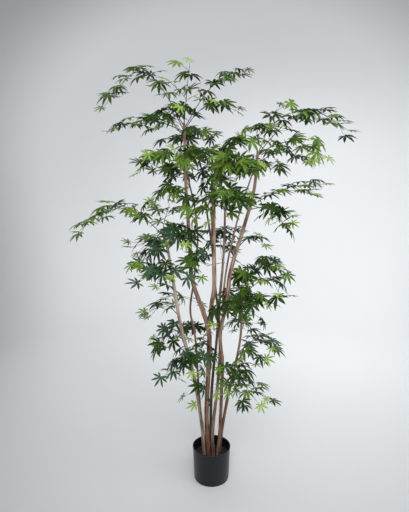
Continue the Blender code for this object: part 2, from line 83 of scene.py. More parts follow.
camera_data = bpy.data.cameras.new("camera")
camera_data.sensor_width = SENSOR
camera_data.lens = SENSOR * FOCAL_PIXELS / PICTURE_HEIGHT
camera = bpy.data.objects.new("camera", camera_data)
camera.location = EYE
camera.rotation_euler = (math.radians(90 - LOOK_DOWN), 0, 0)
bpy.context.scene.collection.objects.link(camera)
bpy.context.scene.camera = camera
print(f"lens {camera_data.lens:.1f} mm")

# %% [markdown]
# ## Studio
#
# The plant stands in a seamless bowl: a flat floor whose rim curves up into a wall, so no
# horizon shows from any side, and it is open at the top, where the pale sky looks in.  The bowl
# and the pot are both round.  A cube or a cylinder could be bent into them, but half a section
# turned about the middle keeps every radius exact, so one function turns them both.

# %% Turned surfaces
def mesh_object(name, points, edges=(), faces=(), smooth=True):
    """A new mesh object at the origin, linked to the scene."""
    mesh = bpy.data.meshes.new(name)
    mesh.from_pydata([tuple(p) for p in points], list(edges), list(faces))
    if smooth:
        mesh.shade_smooth()
    made = bpy.data.objects.new(name, mesh)
    bpy.context.scene.collection.objects.link(made)
    return made


def circle(sides):
    """The cosine and sine of directions evenly round Z."""
    turns = [math.tau * k / sides for k in range(sides)]
    return [(math.cos(turn), math.sin(turn)) for turn in turns]


def ring_quads(rings, sides):
    """Faces between rings of points that follow each other in one list."""
    faces = []
    for ring in range(rings - 1):
        for k in range(sides):
            a, b = ring * sides + k, ring * sides + (k + 1) % sides
            faces.append((a, b, b + sides, a + sides))
    return faces


def lathe(name, profile, sides, centre_first=None, centre_last=None):
    """A surface turned round Z from (radius, height) points, shut at the axis where a centre
    height is given.  With the profile running outwards and up, its faces look down and out."""
    points = [(radius * x, radius * y, height) for radius, height in profile for x, y in circle(sides)]
    faces = ring_quads(len(profile), sides)
    if centre_first is not None:
        points.append((0, 0, centre_first))
        faces += [(len(points) - 1, (k + 1) % sides, k) for k in range(sides)]
    if centre_last is not None:
        points.append((0, 0, centre_last))
        last = (len(profile) - 1) * sides
        faces += [(len(points) - 1, last + k, last + (k + 1) % sides) for k in range(sides)]
    return mesh_object(name, points, faces=faces)


def arc(centre, radius, first, last, steps):
    """Points (radius, height) on an arc, with its angles in degrees."""
    turns = [math.radians(first + (last - first) * step / steps) for step in range(steps + 1)]
    x, z = centre
    return [(x + radius * math.cos(turn), z + radius * math.sin(turn)) for turn in turns]


print("points of a quarter turn in 8 steps:", len(arc((0, 0), 1, 0, 90, 8)))

# %% Studio bowl
FLOOR_RADIUS = 2.6
FLOOR_RINGS = 4
SWEEP_RADIUS = 1.4
SWEEP_STEPS = 12
WALL_TOP = 5.0
BOWL_SIDES = 96

profile = [(FLOOR_RADIUS * k / FLOOR_RINGS, 0) for k in range(1, FLOOR_RINGS)]
profile += arc((FLOOR_RADIUS, SWEEP_RADIUS), SWEEP_RADIUS, -90, 0, SWEEP_STEPS)
profile.append((FLOOR_RADIUS + SWEEP_RADIUS, WALL_TOP))
bowl = lathe("studio_bowl", profile, BOWL_SIDES, centre_first=0)
bowl.data.flip_normals()
print("studio bowl:", 2 * (FLOOR_RADIUS + SWEEP_RADIUS), "m across")

# %% [markdown]
# ### Backdrop paint: a painted pool of light
#
# Behind the plant lies a soft pool of light, and the studio darkens away from it.  Lamps alone
# could do that, but they would light the plant unevenly too.  So both are painted instead: the
# paint is lighter in the pool, as painted light, and darker away from it, as painted shade, and
# the distance from the pool's centre becomes a share between the two greys.  Every node below is
# added by one function, and the small ones after it name what a node does.

# %% Nodes and materials
def feed(tree, fed, feeds):
    """Feeds a node's inputs, by name or number, with values or with other nodes' outputs."""
    for key, value in feeds.items():
        if isinstance(value, bpy.types.NodeSocket):
            tree.links.new(value, fed.inputs[key])
        else:
            fed.inputs[key].default_value = value


def node(tree, kind, feeds=None, **settings):
    """Adds a node with its settings to a tree, and feeds it."""
    made = tree.nodes.new(kind)
    for key, value in settings.items():
        setattr(made, key, value)
    feed(tree, made, feeds or {})
    return made


def maths(tree, operation, *numbers):
    """What a Math node makes of its numbers or outputs."""
    return node(tree, "ShaderNodeMath", dict(enumerate(numbers)), operation=operation).outputs[0]


def vector_maths(tree, operation, *vectors):
    """What a Vector Math node makes of its vectors or outputs."""
    made = node(tree, "ShaderNodeVectorMath", dict(enumerate(vectors)), operation=operation)
    return made.outputs["Value" if operation == "LENGTH" else "Vector"]


def remap(tree, value, low, high, to_low=0.0, to_high=1.0, fade="LINEAR"):
    """A value carried from one range to another, and held at its ends."""
    return node(tree, "ShaderNodeMapRange", {
        "Value": value, "From Min": low, "From Max": high, "To Min": to_low, "To Max": to_high},
        interpolation_type=fade).outputs["Result"]


def ramp(tree, share, *stops):
    """A colour ramp through stops of (place, colour)."""
    made = node(tree, "ShaderNodeValToRGB", {"Fac": share})
    elements = made.color_ramp.elements
    while len(elements) < len(stops):
        elements.new(1)
    for element, (place, colour) in zip(elements, stops):
        element.position = place
        element.color = (*colour, 1)
    return made.outputs["Color"]


def object_place(tree):
    """Where a point is on its object, which moves with the object."""
    return node(tree, "ShaderNodeTexCoord").outputs["Object"]


def new_material(name):
    """A material, its node tree and its Principled shader."""
    made = bpy.data.materials.new(name)
    made.use_nodes = True
    return made, made.node_tree, made.node_tree.nodes["Principled BSDF"]

# %% Backdrop paint: painted pool of light and painted shade
POOL_CENTRE = (0.2, 2.3, 1.65)
POOL_SQUEEZE = (1, 0.72, 1)   # below 1 along an axis makes the pool longer that way
POOL_RADIUS = 2.2
POOL_EDGE = 3.1               # where the paint is darkest
# The pale grey is the painted light of the pool, the deep grey the painted shade away from it.
LIT_POOL_GREY = (0.82, 0.835, 0.845)
PAINTED_SHADE_GREY = (0.43, 0.44, 0.455)

paint, tree, shader = new_material("studio_painted_light")
offset = vector_maths(tree, "SUBTRACT", object_place(tree), POOL_CENTRE)
away = vector_maths(tree, "LENGTH", vector_maths(tree, "MULTIPLY", offset, POOL_SQUEEZE))
share = remap(tree, away, POOL_RADIUS, POOL_EDGE, fade="SMOOTHSTEP")
colour = ramp(tree, share, (0, LIT_POOL_GREY), (1, PAINTED_SHADE_GREY))
feed(tree, shader, {"Base Color": colour, "Roughness": 0.9})
bowl.data.materials.append(paint)
print("paint:", len(tree.nodes), "nodes")

# %% [markdown]
# ### Lights
#
# A catalogue picture is lit softly, so that thin leaves stay readable and the pot's shadow is
# faint.  One sun would give hard shadows.  Here three wide lamps, from the right, the front and
# above, share the work with the sky's pale light, and a spot behind the plant brightens the
# pool on the backdrop.

# %% Lights
# A lamp is (kind, place, target, size, watts).
LAMPS = {
    "right": ("AREA", (2.6, -1.6, 3.4), (0, 0, 0.8), 3.5, 50),
    "front": ("AREA", (0, -3.2, 3.2), (0, 0, 0.7), 2.5, 92),
    "above": ("AREA", (0, 0.8, 4.4), (0, 0.8, 0), 3, 25),
    "pool": ("SPOT", (0.7, 1.2, 3.0), (0.9, 3.0, 0.3), 0.5, 150),
}
SPOT_ANGLE = 110              # degrees
SKY_COLOUR = (0.95, 0.97, 1.0, 1)
SKY_STRENGTH = 0.42

for name, (kind, place, target, size, watts) in LAMPS.items():
    lamp = bpy.data.lights.new("lamp_" + name, kind)
    lamp.energy = watts
    if kind == "AREA":
        lamp.shape = "DISK"
        lamp.size = size
    else:
        lamp.shadow_soft_size = size
        lamp.spot_size = math.radians(SPOT_ANGLE)
        lamp.spot_blend = 1
    light = bpy.data.objects.new("lamp_" + name, lamp)
    light.location = place
    light.rotation_euler = (Vector(target) - Vector(place)).to_track_quat("-Z", "Y").to_euler()
    bpy.context.scene.collection.objects.link(light)

world = bpy.data.worlds.new("studio")
bpy.context.scene.world = world
world.use_nodes = True
sky = world.node_tree.nodes["Background"]
feed(world.node_tree, sky, {"Color": SKY_COLOUR, "Strength": SKY_STRENGTH})
bpy.context.scene.view_settings.view_transform = "Standard"
print("lamps:", len(LAMPS))

# %% [markdown]
# ## Pot
#
# A nursery pot is thin injection-moulded plastic: a slightly tapered wall, a small rolled rim
# and a rounded bottom edge.  It could be a cylinder with bevels and a Solidify modifier, but the
# rim is thicker than the wall, so its true half section, outside and inside, is turned instead.

# %% Pot
POT_HEIGHT = 0.182
POT_TOP_RADIUS = 0.0985
POT_BASE_RADIUS = 0.0895
POT_WALL = 0.0028
POT_FLOOR = 0.0045
POT_SIDES = 128
RIM_HEIGHT = 0.005
RIM_OVERHANG = 0.0012
RIM_CREASE = 0.002            # a close ring keeps the wall's shading flat up to the rim
RIM_START = -40               # degrees, where the rolled rim leaves the wall
RIM_STEPS = 12
BASE_EDGE = 0.006             # radius of the rounded bottom edge
BASE_STEPS = 8
OUTER_RINGS = (0.03, 0.07, 0.11, 0.15)
INNER_RINGS = (0.170, 0.15, 0.12, 0.08, 0.03)


def wall_radius(height):
    """Outer radius of the pot's wall at a height."""
    return POT_BASE_RADIUS + (POT_TOP_RADIUS - RIM_OVERHANG - POT_BASE_RADIUS) * height / POT_HEIGHT


def inner_radius(height):
    return wall_radius(height) - POT_WALL


UNDER_RIM = POT_HEIGHT - RIM_HEIGHT
LIP = RIM_HEIGHT / 2
outside = arc((wall_radius(BASE_EDGE) - BASE_EDGE, BASE_EDGE), BASE_EDGE, -90, 0, BASE_STEPS)
outside += [(wall_radius(h), h) for h in (*OUTER_RINGS, UNDER_RIM - RIM_CREASE, UNDER_RIM)]
outside += arc((POT_TOP_RADIUS - LIP, POT_HEIGHT - LIP), LIP, RIM_START, 180, RIM_STEPS)
inside = [(inner_radius(h), h) for h in (*INNER_RINGS, POT_FLOOR)]
pot = lathe("pot_shell", outside + inside, POT_SIDES, centre_first=0, centre_last=POT_FLOOR)
print(f"pot: {POT_HEIGHT * 1000:.0f} mm high, {POT_TOP_RADIUS * 2000:.0f} mm wide")

# %% [markdown]
# ### Moulded plastic
#
# The plastic is black, with a dull sheen that changes where hands have rubbed it, and tiny
# pores.  A plain black would look like a hole in the picture.  Noise of three sizes gives the
# cloudy tone, the scuffed sheen and, as a bump, the pores, which are too fine to model.

# %% Moulded plastic
def noise(tree, vector, scale, detail, roughness=0.5):
    """Noise of about 0 to 1 at a position.  A larger scale makes finer grain."""
    return node(tree, "ShaderNodeTexNoise", {
        "Vector": vector, "Scale": scale, "Detail": detail, "Roughness": roughness}).outputs["Fac"]


def bump(tree, height, distance, strength=1.0):
    """The normal of a surface that seems to rise with a height, by a distance in metres."""
    return node(tree, "ShaderNodeBump", {
        "Height": height, "Distance": distance, "Strength": strength}).outputs["Normal"]


def dress(piece, slot, *nodes):
    """A finished piece rides with the plant and stands for its nodes, which are hidden.  The slot is
    not used.
    """
    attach(piece, "root")
    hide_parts(*nodes)
    print(f"{piece.name}: {sum(len(p.vertices) - 2 for p in piece.data.polygons)} triangles")


PLASTIC_DARK = (0.006, 0.008, 0.010)
PLASTIC_LIGHT = (0.010, 0.013, 0.016)
SHEEN = (0.28, 0.42)          # roughness, from rubbed to dull
PLASTIC_GLOSS = 0.35

plastic, tree, shader = new_material("moulded_plastic")
place = object_place(tree)
cloud = noise(tree, place, scale=14, detail=4)
scuff = noise(tree, place, scale=90, detail=3)
pores = noise(tree, place, scale=900, detail=2)
feed(tree, shader, {
    "Base Color": ramp(tree, cloud, (0.3, PLASTIC_DARK), (0.75, PLASTIC_LIGHT)),
    "Roughness": remap(tree, scuff, 0, 1, *SHEEN), "Specular IOR Level": PLASTIC_GLOSS,
    "Normal": bump(tree, pores, distance=0.0002, strength=0.4)})
pot.data.materials.append(plastic)
dress(pot, "pot_plastic", "pot")

# %% [markdown]
# ## Fill
#
# The stems stand in cement that was poured and left rough, dark in the shade of the pot.  Its
# lumps could be sculpted, or placed by hand.  Geometry Nodes push a fine disc up and down with
# noise instead, which is even and can be tuned by two named inputs.

# %% Fill finish
CEMENT_DARK = (0.012, 0.009, 0.007)
CEMENT_LIGHT = (0.040, 0.030, 0.022)

cement, tree, shader = new_material("cement")
sand = noise(tree, object_place(tree), scale=260, detail=5)
feed(tree, shader, {
    "Base Color": ramp(tree, sand, (0.3, CEMENT_DARK), (0.7, CEMENT_LIGHT)),
    "Roughness": 0.95, "Normal": bump(tree, sand, distance=0.001)})
print("cement:", len(tree.nodes), "nodes")

# %% Geometry Nodes trees
def geometry_tree(name, inputs):
    """A Geometry Nodes tree with a geometry in and out, and named inputs (label, kind, value)."""
    tree = bpy.data.node_groups.new(name, "GeometryNodeTree")
    tree.interface.new_socket("Geometry", in_out="INPUT", socket_type="NodeSocketGeometry")
    tree.interface.new_socket("Geometry", in_out="OUTPUT", socket_type="NodeSocketGeometry")
    for label, kind, value in inputs:
        socket = tree.interface.new_socket(label, in_out="INPUT", socket_type="NodeSocket" + kind)
        if value is not None:
            socket.default_value = value
    return tree, tree.nodes.new("NodeGroupInput").outputs


def finish_tree(tree, geometry, material):
    """Ends a tree: whatever it made becomes one real mesh of one material."""
    real = node(tree, "GeometryNodeRealizeInstances", {"Geometry": geometry}).outputs[0]
    clad = node(tree, "GeometryNodeSetMaterial", {"Geometry": real, "Material": material}).outputs[0]
    tree.links.new(clad, tree.nodes.new("NodeGroupOutput").inputs[0])
    return tree


def run_tree(thing, tree, settings):
    """Runs a Geometry Nodes tree on an object and keeps its result as the object's plain mesh."""
    modifier = thing.modifiers.new(tree.name, "NODES")
    modifier.node_group = tree
    for item in tree.interface.items_tree:
        if item.in_out == "INPUT" and item.name in settings:
            modifier[item.identifier] = settings[item.name]
    evaluated = thing.evaluated_get(bpy.context.evaluated_depsgraph_get())
    mesh = bpy.data.meshes.new_from_object(evaluated)
    thing.modifiers.remove(modifier)
    thing.data = mesh

# %% Fill
FILL_LEVEL = 0.130
FILL_RINGS = 24
FILL_SIDES = 96
FILL_FOOT = 0.006             # height of its underside
FILL_FOOT_INSET = 0.0004      # from the pot's inside
CREST = 0.72                  # the noise that reaches FILL_LEVEL: less of it dips below

tree, given = geometry_tree("poured_top", [
    ("Relief", "Float", 0.0025), ("Grain", "Float", 55.0), ("Material", "Material", None)])
lumps = noise(tree, node(tree, "GeometryNodeInputPosition").outputs[0], given["Grain"], detail=4)
height = maths(tree, "MULTIPLY", maths(tree, "SUBTRACT", lumps, CREST), given["Relief"])
lift = node(tree, "ShaderNodeCombineXYZ", {"Z": height}).outputs[0]
top = node(tree, "GeometryNodeSetPosition", {"Geometry": given["Geometry"], "Offset": lift})
fill_tree = finish_tree(tree, top.outputs[0], given["Material"])

rings = [(inner_radius(FILL_LEVEL) * k / FILL_RINGS, FILL_LEVEL) for k in range(1, FILL_RINGS + 1)]
rings.append((inner_radius(FILL_FOOT) - FILL_FOOT_INSET, FILL_FOOT))
fill = lathe("cement_fill", rings, FILL_SIDES, centre_first=FILL_LEVEL, centre_last=FILL_FOOT)
fill.data.flip_normals()
run_tree(fill, fill_tree, {"Material": cement})
dress(fill, "cement", "pot_fill")

# %% [markdown]
# ## Stems
#
# The stems are real wood, cut from thin shrubs, so each wanders, swells a little at every joint
# where a side shoot once grew, and shows streaks that run along the grain.  A bent cylinder
# would show its straight runs.  Each is a smooth curve through a few bends instead, and its
# thickness is smoothed along with its place.

# %% Stem bends
# Each bend is (height, east, north, thickness).
STEMS = {
    "trunk_left": [
        (0.13, -0.013, -0.012, 0.026), (0.36, -0.026, -0.010, 0.023), (0.70, -0.013, -0.010, 0.024),
        (0.84, -0.022, -0.010, 0.023), (1.06, -0.095, 0.010, 0.020), (1.25, -0.108, 0.020, 0.018),
        (1.50, -0.124, 0.035, 0.015), (1.81, -0.132, 0.040, 0.012),
    ],
    "trunk_right": [
        (0.13, 0.029, 0.000, 0.019), (0.24, 0.042, 0.000, 0.017), (0.50, 0.050, -0.010, 0.017),
        (0.64, 0.053, -0.010, 0.018), (0.80, 0.041, -0.030, 0.018), (0.97, 0.069, -0.060, 0.020),
        (1.13, 0.089, -0.055, 0.019), (1.34, 0.152, -0.030, 0.017), (1.50, 0.193, -0.030, 0.015),
        (1.68, 0.208, -0.030, 0.013),
    ],
    "stem_pale_left": [
        (0.13, -0.037, -0.028, 0.020), (0.32, -0.049, -0.045, 0.018), (0.59, -0.088, -0.070, 0.017),
        (0.88, -0.152, -0.095, 0.016), (1.20, -0.198, -0.110, 0.013), (1.32, -0.225, -0.110, 0.012),
    ],
    "stem_thin_left": [
        (0.13, -0.032, 0.014, 0.012), (0.42, -0.062, 0.030, 0.011), (0.75, -0.083, 0.042, 0.010),
        (0.90, -0.108, 0.050, 0.010), (1.06, -0.088, 0.075, 0.009), (1.25, -0.071, 0.110, 0.009),
        (1.40, -0.085, 0.130, 0.008), (1.58, -0.124, 0.145, 0.007),
    ],
    "stem_middle": [
        (0.13, 0.009, -0.024, 0.018), (0.28, 0.005, -0.030, 0.017), (0.50, 0.028, -0.010, 0.016),
        (0.69, 0.042, 0.030, 0.015), (0.90, 0.037, 0.060, 0.014), (1.17, 0.059, 0.090, 0.012),
        (1.49, 0.068, 0.120, 0.010),
    ],
    "stem_back": [
        (0.13, -0.005, 0.028, 0.016), (0.41, -0.002, 0.030, 0.015), (0.59, 0.009, 0.020, 0.014),
        (0.75, 0.024, 0.010, 0.013), (0.90, 0.030, 0.015, 0.012), (1.05, 0.014, 0.035, 0.011),
        (1.20, 0.003, 0.050, 0.010), (1.45, -0.034, 0.070, 0.009),
    ],
    "stem_right_low": [
        (0.13, 0.043, 0.030, 0.018), (0.25, 0.055, 0.030, 0.016), (0.40, 0.078, 0.030, 0.015),
        (0.50, 0.098, 0.035, 0.014), (0.75, 0.147, 0.055, 0.012), (0.99, 0.150, 0.070, 0.010),
    ],
}
# A bough springs from the stem named first.
BOUGHS = {
    "bough_centre": ("trunk_left", [
        (0.860, -0.012, -0.026, 0.021), (0.965, -0.001, -0.045, 0.021), (1.07, 0.010, -0.060, 0.020),
        (1.34, 0.004, -0.080, 0.020), (1.506, 0.006, -0.090, 0.019),
    ]),
    "bough_right_back": ("trunk_right", [
        (0.900, 0.055, -0.040, 0.010), (1.00, 0.057, 0.010, 0.010), (1.18, 0.085, 0.060, 0.009),
        (1.40, 0.142, 0.110, 0.008), (1.56, 0.198, 0.150, 0.007),
    ]),
}
print("stems:", len(STEMS), "boughs:", len(BOUGHS))

# %% Smooth curves
def catmull_rom(p, q, r, s, t):
    """A number that runs smoothly from q to r, with p before and s after them."""
    return 0.5 * (2 * q + (r - p) * t + (2 * p - 5 * q + 4 * r - s) * t ** 2
                  + (3 * q - p - 3 * r + s) * t ** 3)


def mirror_knot(end, inner):
    return tuple(2 * e - i for e, i in zip(end, inner))


def smooth_curve(knots, pitch):
    """Points along a Catmull-Rom curve through the knots, no more than pitch apart."""
    padded = [mirror_knot(knots[0], knots[1]), *knots, mirror_knot(knots[-1], knots[-2])]
    points = [knots[0]]
    for a, b, c, d in zip(padded, padded[1:], padded[2:], padded[3:]):
        steps = max(1, math.ceil((Vector(c[:3]) - Vector(b[:3])).length / pitch))
        for step in range(1, steps + 1):
            t = step / steps
            points.append(tuple(catmull_rom(p, q, r, s, t) for p, q, r, s in zip(a, b, c, d)))
    return points

# %% Limbs
def prism(points, radii, sides):
    """A coarse tube round a line, as a tree that can be asked what it touches."""
    spokes = [Vector((x, y, 0)) for x, y in circle(sides)]
    verts = [point + spoke * radius for point, radius in zip(points, radii) for spoke in spokes]
    return BVHTree.FromPolygons(verts, ring_quads(len(points), sides))


LIMB_PITCH = 0.006
SKIN_EVERY = 8                # points of the middle line
SKIN_SIDES = 5


class Limb:
    """A stem or bough: its middle line with the radius at each point, and a tree of its coarse
    skin, which leaves are kept clear of."""

    def __init__(self, bends):
        knots = [(east, north, height, thickness) for height, east, north, thickness in bends]
        line = smooth_curve(knots, LIMB_PITCH)
        self.middle = [Vector(p[:3]) for p in line]
        self.radii = [p[3] / 2 for p in line]
        self.tree = prism(self.middle[::SKIN_EVERY], self.radii[::SKIN_EVERY], SKIN_SIDES)

    def at_height(self, height):
        """The point of the middle line at a height, and the radius there."""
        for low, high, radius in zip(self.middle, self.middle[1:], self.radii):
            if low.z <= height <= high.z:
                return low.lerp(high, (height - low.z) / (high.z - low.z)), radius
        return self.middle[-1].copy(), self.radii[-1]


BOUGH_ROOT = 0.02             # how far below its fork a bough is rooted in its stem
BOUGH_FLARE = 1.2             # how much thicker it is there

limbs = {name: Limb(bends) for name, bends in STEMS.items()}
for name, (stem, bends) in BOUGHS.items():
    height = bends[0][0] - BOUGH_ROOT
    root, _ = limbs[stem].at_height(height)
    limbs[name] = Limb([(height, root.x, root.y, bends[0][3] * BOUGH_FLARE)] + bends)
print("tallest limb:", round(max(limb.middle[-1].z for limb in limbs.values()), 2), "m")

# %% [markdown]
# ### Bark skin
#
# Bark has furrows along the stem and a swelling at each old joint.  A bump alone would leave the
# stem's edge smooth, so the relief is real: Geometry Nodes turn each middle line into a tube and
# move its skin.  Two facts about every point of the tube are kept on the way, how far along the
# stem it is and how far round.  Together they make a "grain" position, in which noise stretched
# along the stem gives streaks that follow every bend and close up all the way round.

# %% Bark skin
def attribute(tree, name, kind="FLOAT"):
    """Reads a named fact about each point."""
    return node(tree, "GeometryNodeInputNamedAttribute", {"Name": name}, data_type=kind).outputs[0]


def store(tree, geometry, name, value, kind="FLOAT"):
    """Keeps a named fact about each point of a geometry."""
    return node(tree, "GeometryNodeStoreNamedAttribute", {
        "Geometry": geometry, "Name": name, "Value": value}, data_type=kind).outputs[0]


def stretched(tree, grain, along):
    """A grain position whose last direction, along the stem, runs at another rate."""
    return vector_maths(tree, "MULTIPLY", grain, (1, 1, along))


NOMINAL_RADIUS = 0.009        # of the round part of the grain position
FURROW_RATE = 0.08            # how slowly furrows change along the stem, next to round it
JOINT_NOISE = (0.55, 0.75)    # the noise where a joint begins to swell, and is fullest

tree, given = geometry_tree("bark", [
    ("Sides", "Int", 20), ("Furrow Depth", "Float", 0.0006), ("Furrows per Metre", "Float", 260.0),
    ("Joint Swelling", "Float", 0.0012), ("Joints per Metre", "Float", 14.0),
    ("Seed", "Float", 0.0), ("Material", "Material", None)])
rail = node(tree, "GeometryNodeMeshToCurve", {"Mesh": given["Geometry"]}).outputs[0]
rail = store(tree, rail, "along", node(tree, "GeometryNodeSplineParameter").outputs["Length"])
ring = node(tree, "GeometryNodeCurvePrimitiveCircle", {"Resolution": given["Sides"], "Radius": 1.0})
factor = node(tree, "GeometryNodeSplineParameter").outputs["Factor"]
ring = store(tree, ring.outputs["Curve"], "around", factor)
tube = node(tree, "GeometryNodeCurveToMesh", {
    "Curve": rail, "Profile Curve": ring, "Scale": attribute(tree, "thickness"), "Fill Caps": True})
turn = maths(tree, "MULTIPLY", attribute(tree, "around"), math.tau)
grain = node(tree, "ShaderNodeCombineXYZ", {
    "X": maths(tree, "MULTIPLY", maths(tree, "COSINE", turn), NOMINAL_RADIUS),
    "Y": maths(tree, "MULTIPLY", maths(tree, "SINE", turn), NOMINAL_RADIUS),
    "Z": maths(tree, "ADD", attribute(tree, "along"), given["Seed"])})
tube = store(tree, tube.outputs[0], "grain", grain.outputs[0], "FLOAT_VECTOR")
grain = attribute(tree, "grain", "FLOAT_VECTOR")
furrow = noise(tree, stretched(tree, grain, FURROW_RATE), given["Furrows per Metre"], detail=3)
furrow = maths(tree, "MULTIPLY", maths(tree, "SUBTRACT", furrow, 0.5), given["Furrow Depth"])
joint = remap(tree, noise(tree, grain, given["Joints per Metre"], detail=1), *JOINT_NOISE)
joint = maths(tree, "MULTIPLY", joint, given["Joint Swelling"])
normal = node(tree, "GeometryNodeInputNormal").outputs[0]
outward = node(tree, "ShaderNodeVectorMath", {
    0: normal, "Scale": maths(tree, "ADD", furrow, joint)}, operation="SCALE").outputs[0]
tube = node(tree, "GeometryNodeSetPosition", {"Geometry": tube, "Offset": outward}).outputs[0]
bark_tree = finish_tree(tree, tube, given["Material"])
print("bark tree:", len(tree.nodes), "nodes")

# %% [markdown]
# ### Bark finish
#
# Up close the bark is streaked in browns, with pale patches where it has worn off, and each stem
# has its own tone.  Low down it is reddish, and painted darker as shade where the stems crowd
# together above the pot, and it pales towards the crown.  An image of wood would show a seam where
# it closes round a stem.  Noise read in the grain position has none, and the streaks, the patches
# and the relief all follow the same bends.

# %% Bark finish
def mix(tree, share, first, second, way="MIX"):
    """A mix of two colours, which are a Mix node's inputs 6 and 7."""
    return node(tree, "ShaderNodeMix", {"Factor": share, 6: first, 7: second},
                data_type="RGBA", blend_type=way).outputs[2]


STREAK_RATE = 0.06            # along the stem, next to round it
PATCH_RATE = 0.35
PATCH_NOISE = (0.43, 0.72)    # where a patch begins, and is palest
PATCH_SHARE = 0.8             # of the light colour in a patch
# The foot's tint is the bark's own red with painted shade that darkens it, where the stems crowd
# together above the pot; the crown's tint makes the bark paler.
BARK_SHADED_FOOT = 0.2               # height up to which the bark is darkest and reddest
BARK_PALE_CROWN = 1.3              # height from where it is palest
BARK_FOOT_RED_AND_SHADE = (0.63, 0.49, 0.39, 1)
BARK_CROWN_PALE_TINT = (1.6, 1.62, 1.6, 1)


def bark_material(name, dark, base, light):
    """Streaked bark between three colours, with pale worn patches, and painted shade that darkens it
    towards its foot.
    """
    made, tree, shader = new_material(name)
    grain = node(tree, "ShaderNodeAttribute", attribute_name="grain").outputs["Vector"]
    streak = noise(tree, stretched(tree, grain, STREAK_RATE), scale=210, detail=5, roughness=0.6)
    colour = ramp(tree, streak, (0.38, dark), (0.5, base), (0.64, light))
    patch = noise(tree, stretched(tree, grain, PATCH_RATE), scale=45, detail=3)
    worn = mix(tree, remap(tree, patch, *PATCH_NOISE, to_high=PATCH_SHARE), colour, (*light, 1))
    # Painted shade: the colour is multiplied darker and redder towards the foot, and paler towards the
    # crown.
    height = node(tree, "ShaderNodeSeparateXYZ", {"Vector": object_place(tree)}).outputs["Z"]
    painted_shade_tint = mix(tree, remap(tree, height, BARK_SHADED_FOOT, BARK_PALE_CROWN), BARK_FOOT_RED_AND_SHADE, BARK_CROWN_PALE_TINT)
    feed(tree, shader, {
        "Base Color": mix(tree, 1.0, worn, painted_shade_tint, "MULTIPLY"), "Roughness": 0.72,
        "Normal": bump(tree, streak, distance=0.0008, strength=0.7)})
    return made


# Each finish is (record slot, dark, base, light).
BARK = {
    "trunk_left": ("bark_tan", (0.045, 0.020, 0.013), (0.20, 0.105, 0.075), (0.42, 0.28, 0.21)),
    "trunk_right": ("bark_tan", (0.06, 0.027, 0.017), (0.23, 0.13, 0.09), (0.44, 0.31, 0.24)),
    "stem_pale_left": ("bark_pale", (0.09, 0.06, 0.045), (0.28, 0.22, 0.17), (0.50, 0.43, 0.36)),
    "stem_thin_left": ("bark_brown", (0.045, 0.02, 0.012), (0.16, 0.085, 0.06), (0.32, 0.21, 0.16)),
    "stem_middle": ("bark_brown", (0.055, 0.035, 0.025), (0.20, 0.135, 0.10), (0.40, 0.31, 0.25)),
    # The back stem's colours are painted darker than the other stems', as shade on the stem that stands
    # behind them.
    "stem_back": ("bark_dark", (0.02, 0.010, 0.006), (0.07, 0.038, 0.026), (0.19, 0.12, 0.085)),
    "stem_right_low": ("bark_brown", (0.06, 0.03, 0.018), (0.22, 0.135, 0.09), (0.40, 0.28, 0.20)),
    "bough_centre": ("bark_tan", (0.05, 0.023, 0.015), (0.22, 0.12, 0.085), (0.44, 0.30, 0.23)),
    "bough_right_back": ("bark_brown", (0.05, 0.027, 0.018), (0.18, 0.11, 0.08), (0.36, 0.25, 0.19)),
}

# %% Bark
def set_points(thing, name, kind, values):
    """Writes a named fact about each point of an object."""
    thing.data.attributes.new(name, kind, "POINT").data.foreach_set("value", values)


def skin(name, lines, settings, slot, *nodes):
    """A dressed piece that the bark tree makes of lines.  Each line is its points and the radius
    at each of them."""
    points, edges, radii = [], [], []
    for line, line_radii in lines:
        edges += [(len(points) + k, len(points) + k + 1) for k in range(len(line) - 1)]
        points += line
        radii += line_radii
    piece = mesh_object(name, points, edges=edges, smooth=False)
    set_points(piece, "thickness", "FLOAT", radii)
    run_tree(piece, bark_tree, settings)
    piece.data.shade_smooth()
    dress(piece, slot, *nodes)


SEED_STEP = 3.7               # metres of grain between one stem's bark and the next

for k, (name, limb) in enumerate(limbs.items()):
    slot, *colours = BARK[name]
    finish = bark_material(name + "_finish", *colours)
    settings = {"Seed": k * SEED_STEP, "Material": finish}
    skin(name + "_bark", [(limb.middle, limb.radii)], settings, slot, name)

# %% [markdown]
# ## Sprays
#
# A foliage mass is a spray: one main twig that springs from a stem and arches over, side twigs
# that fork off it, and leaves on short stalks along them all.  Leaves placed one by one would
# take days and look stiff.  So a spray is told in one row of numbers, and a seeded draw deals
# the rest, the same on every run.

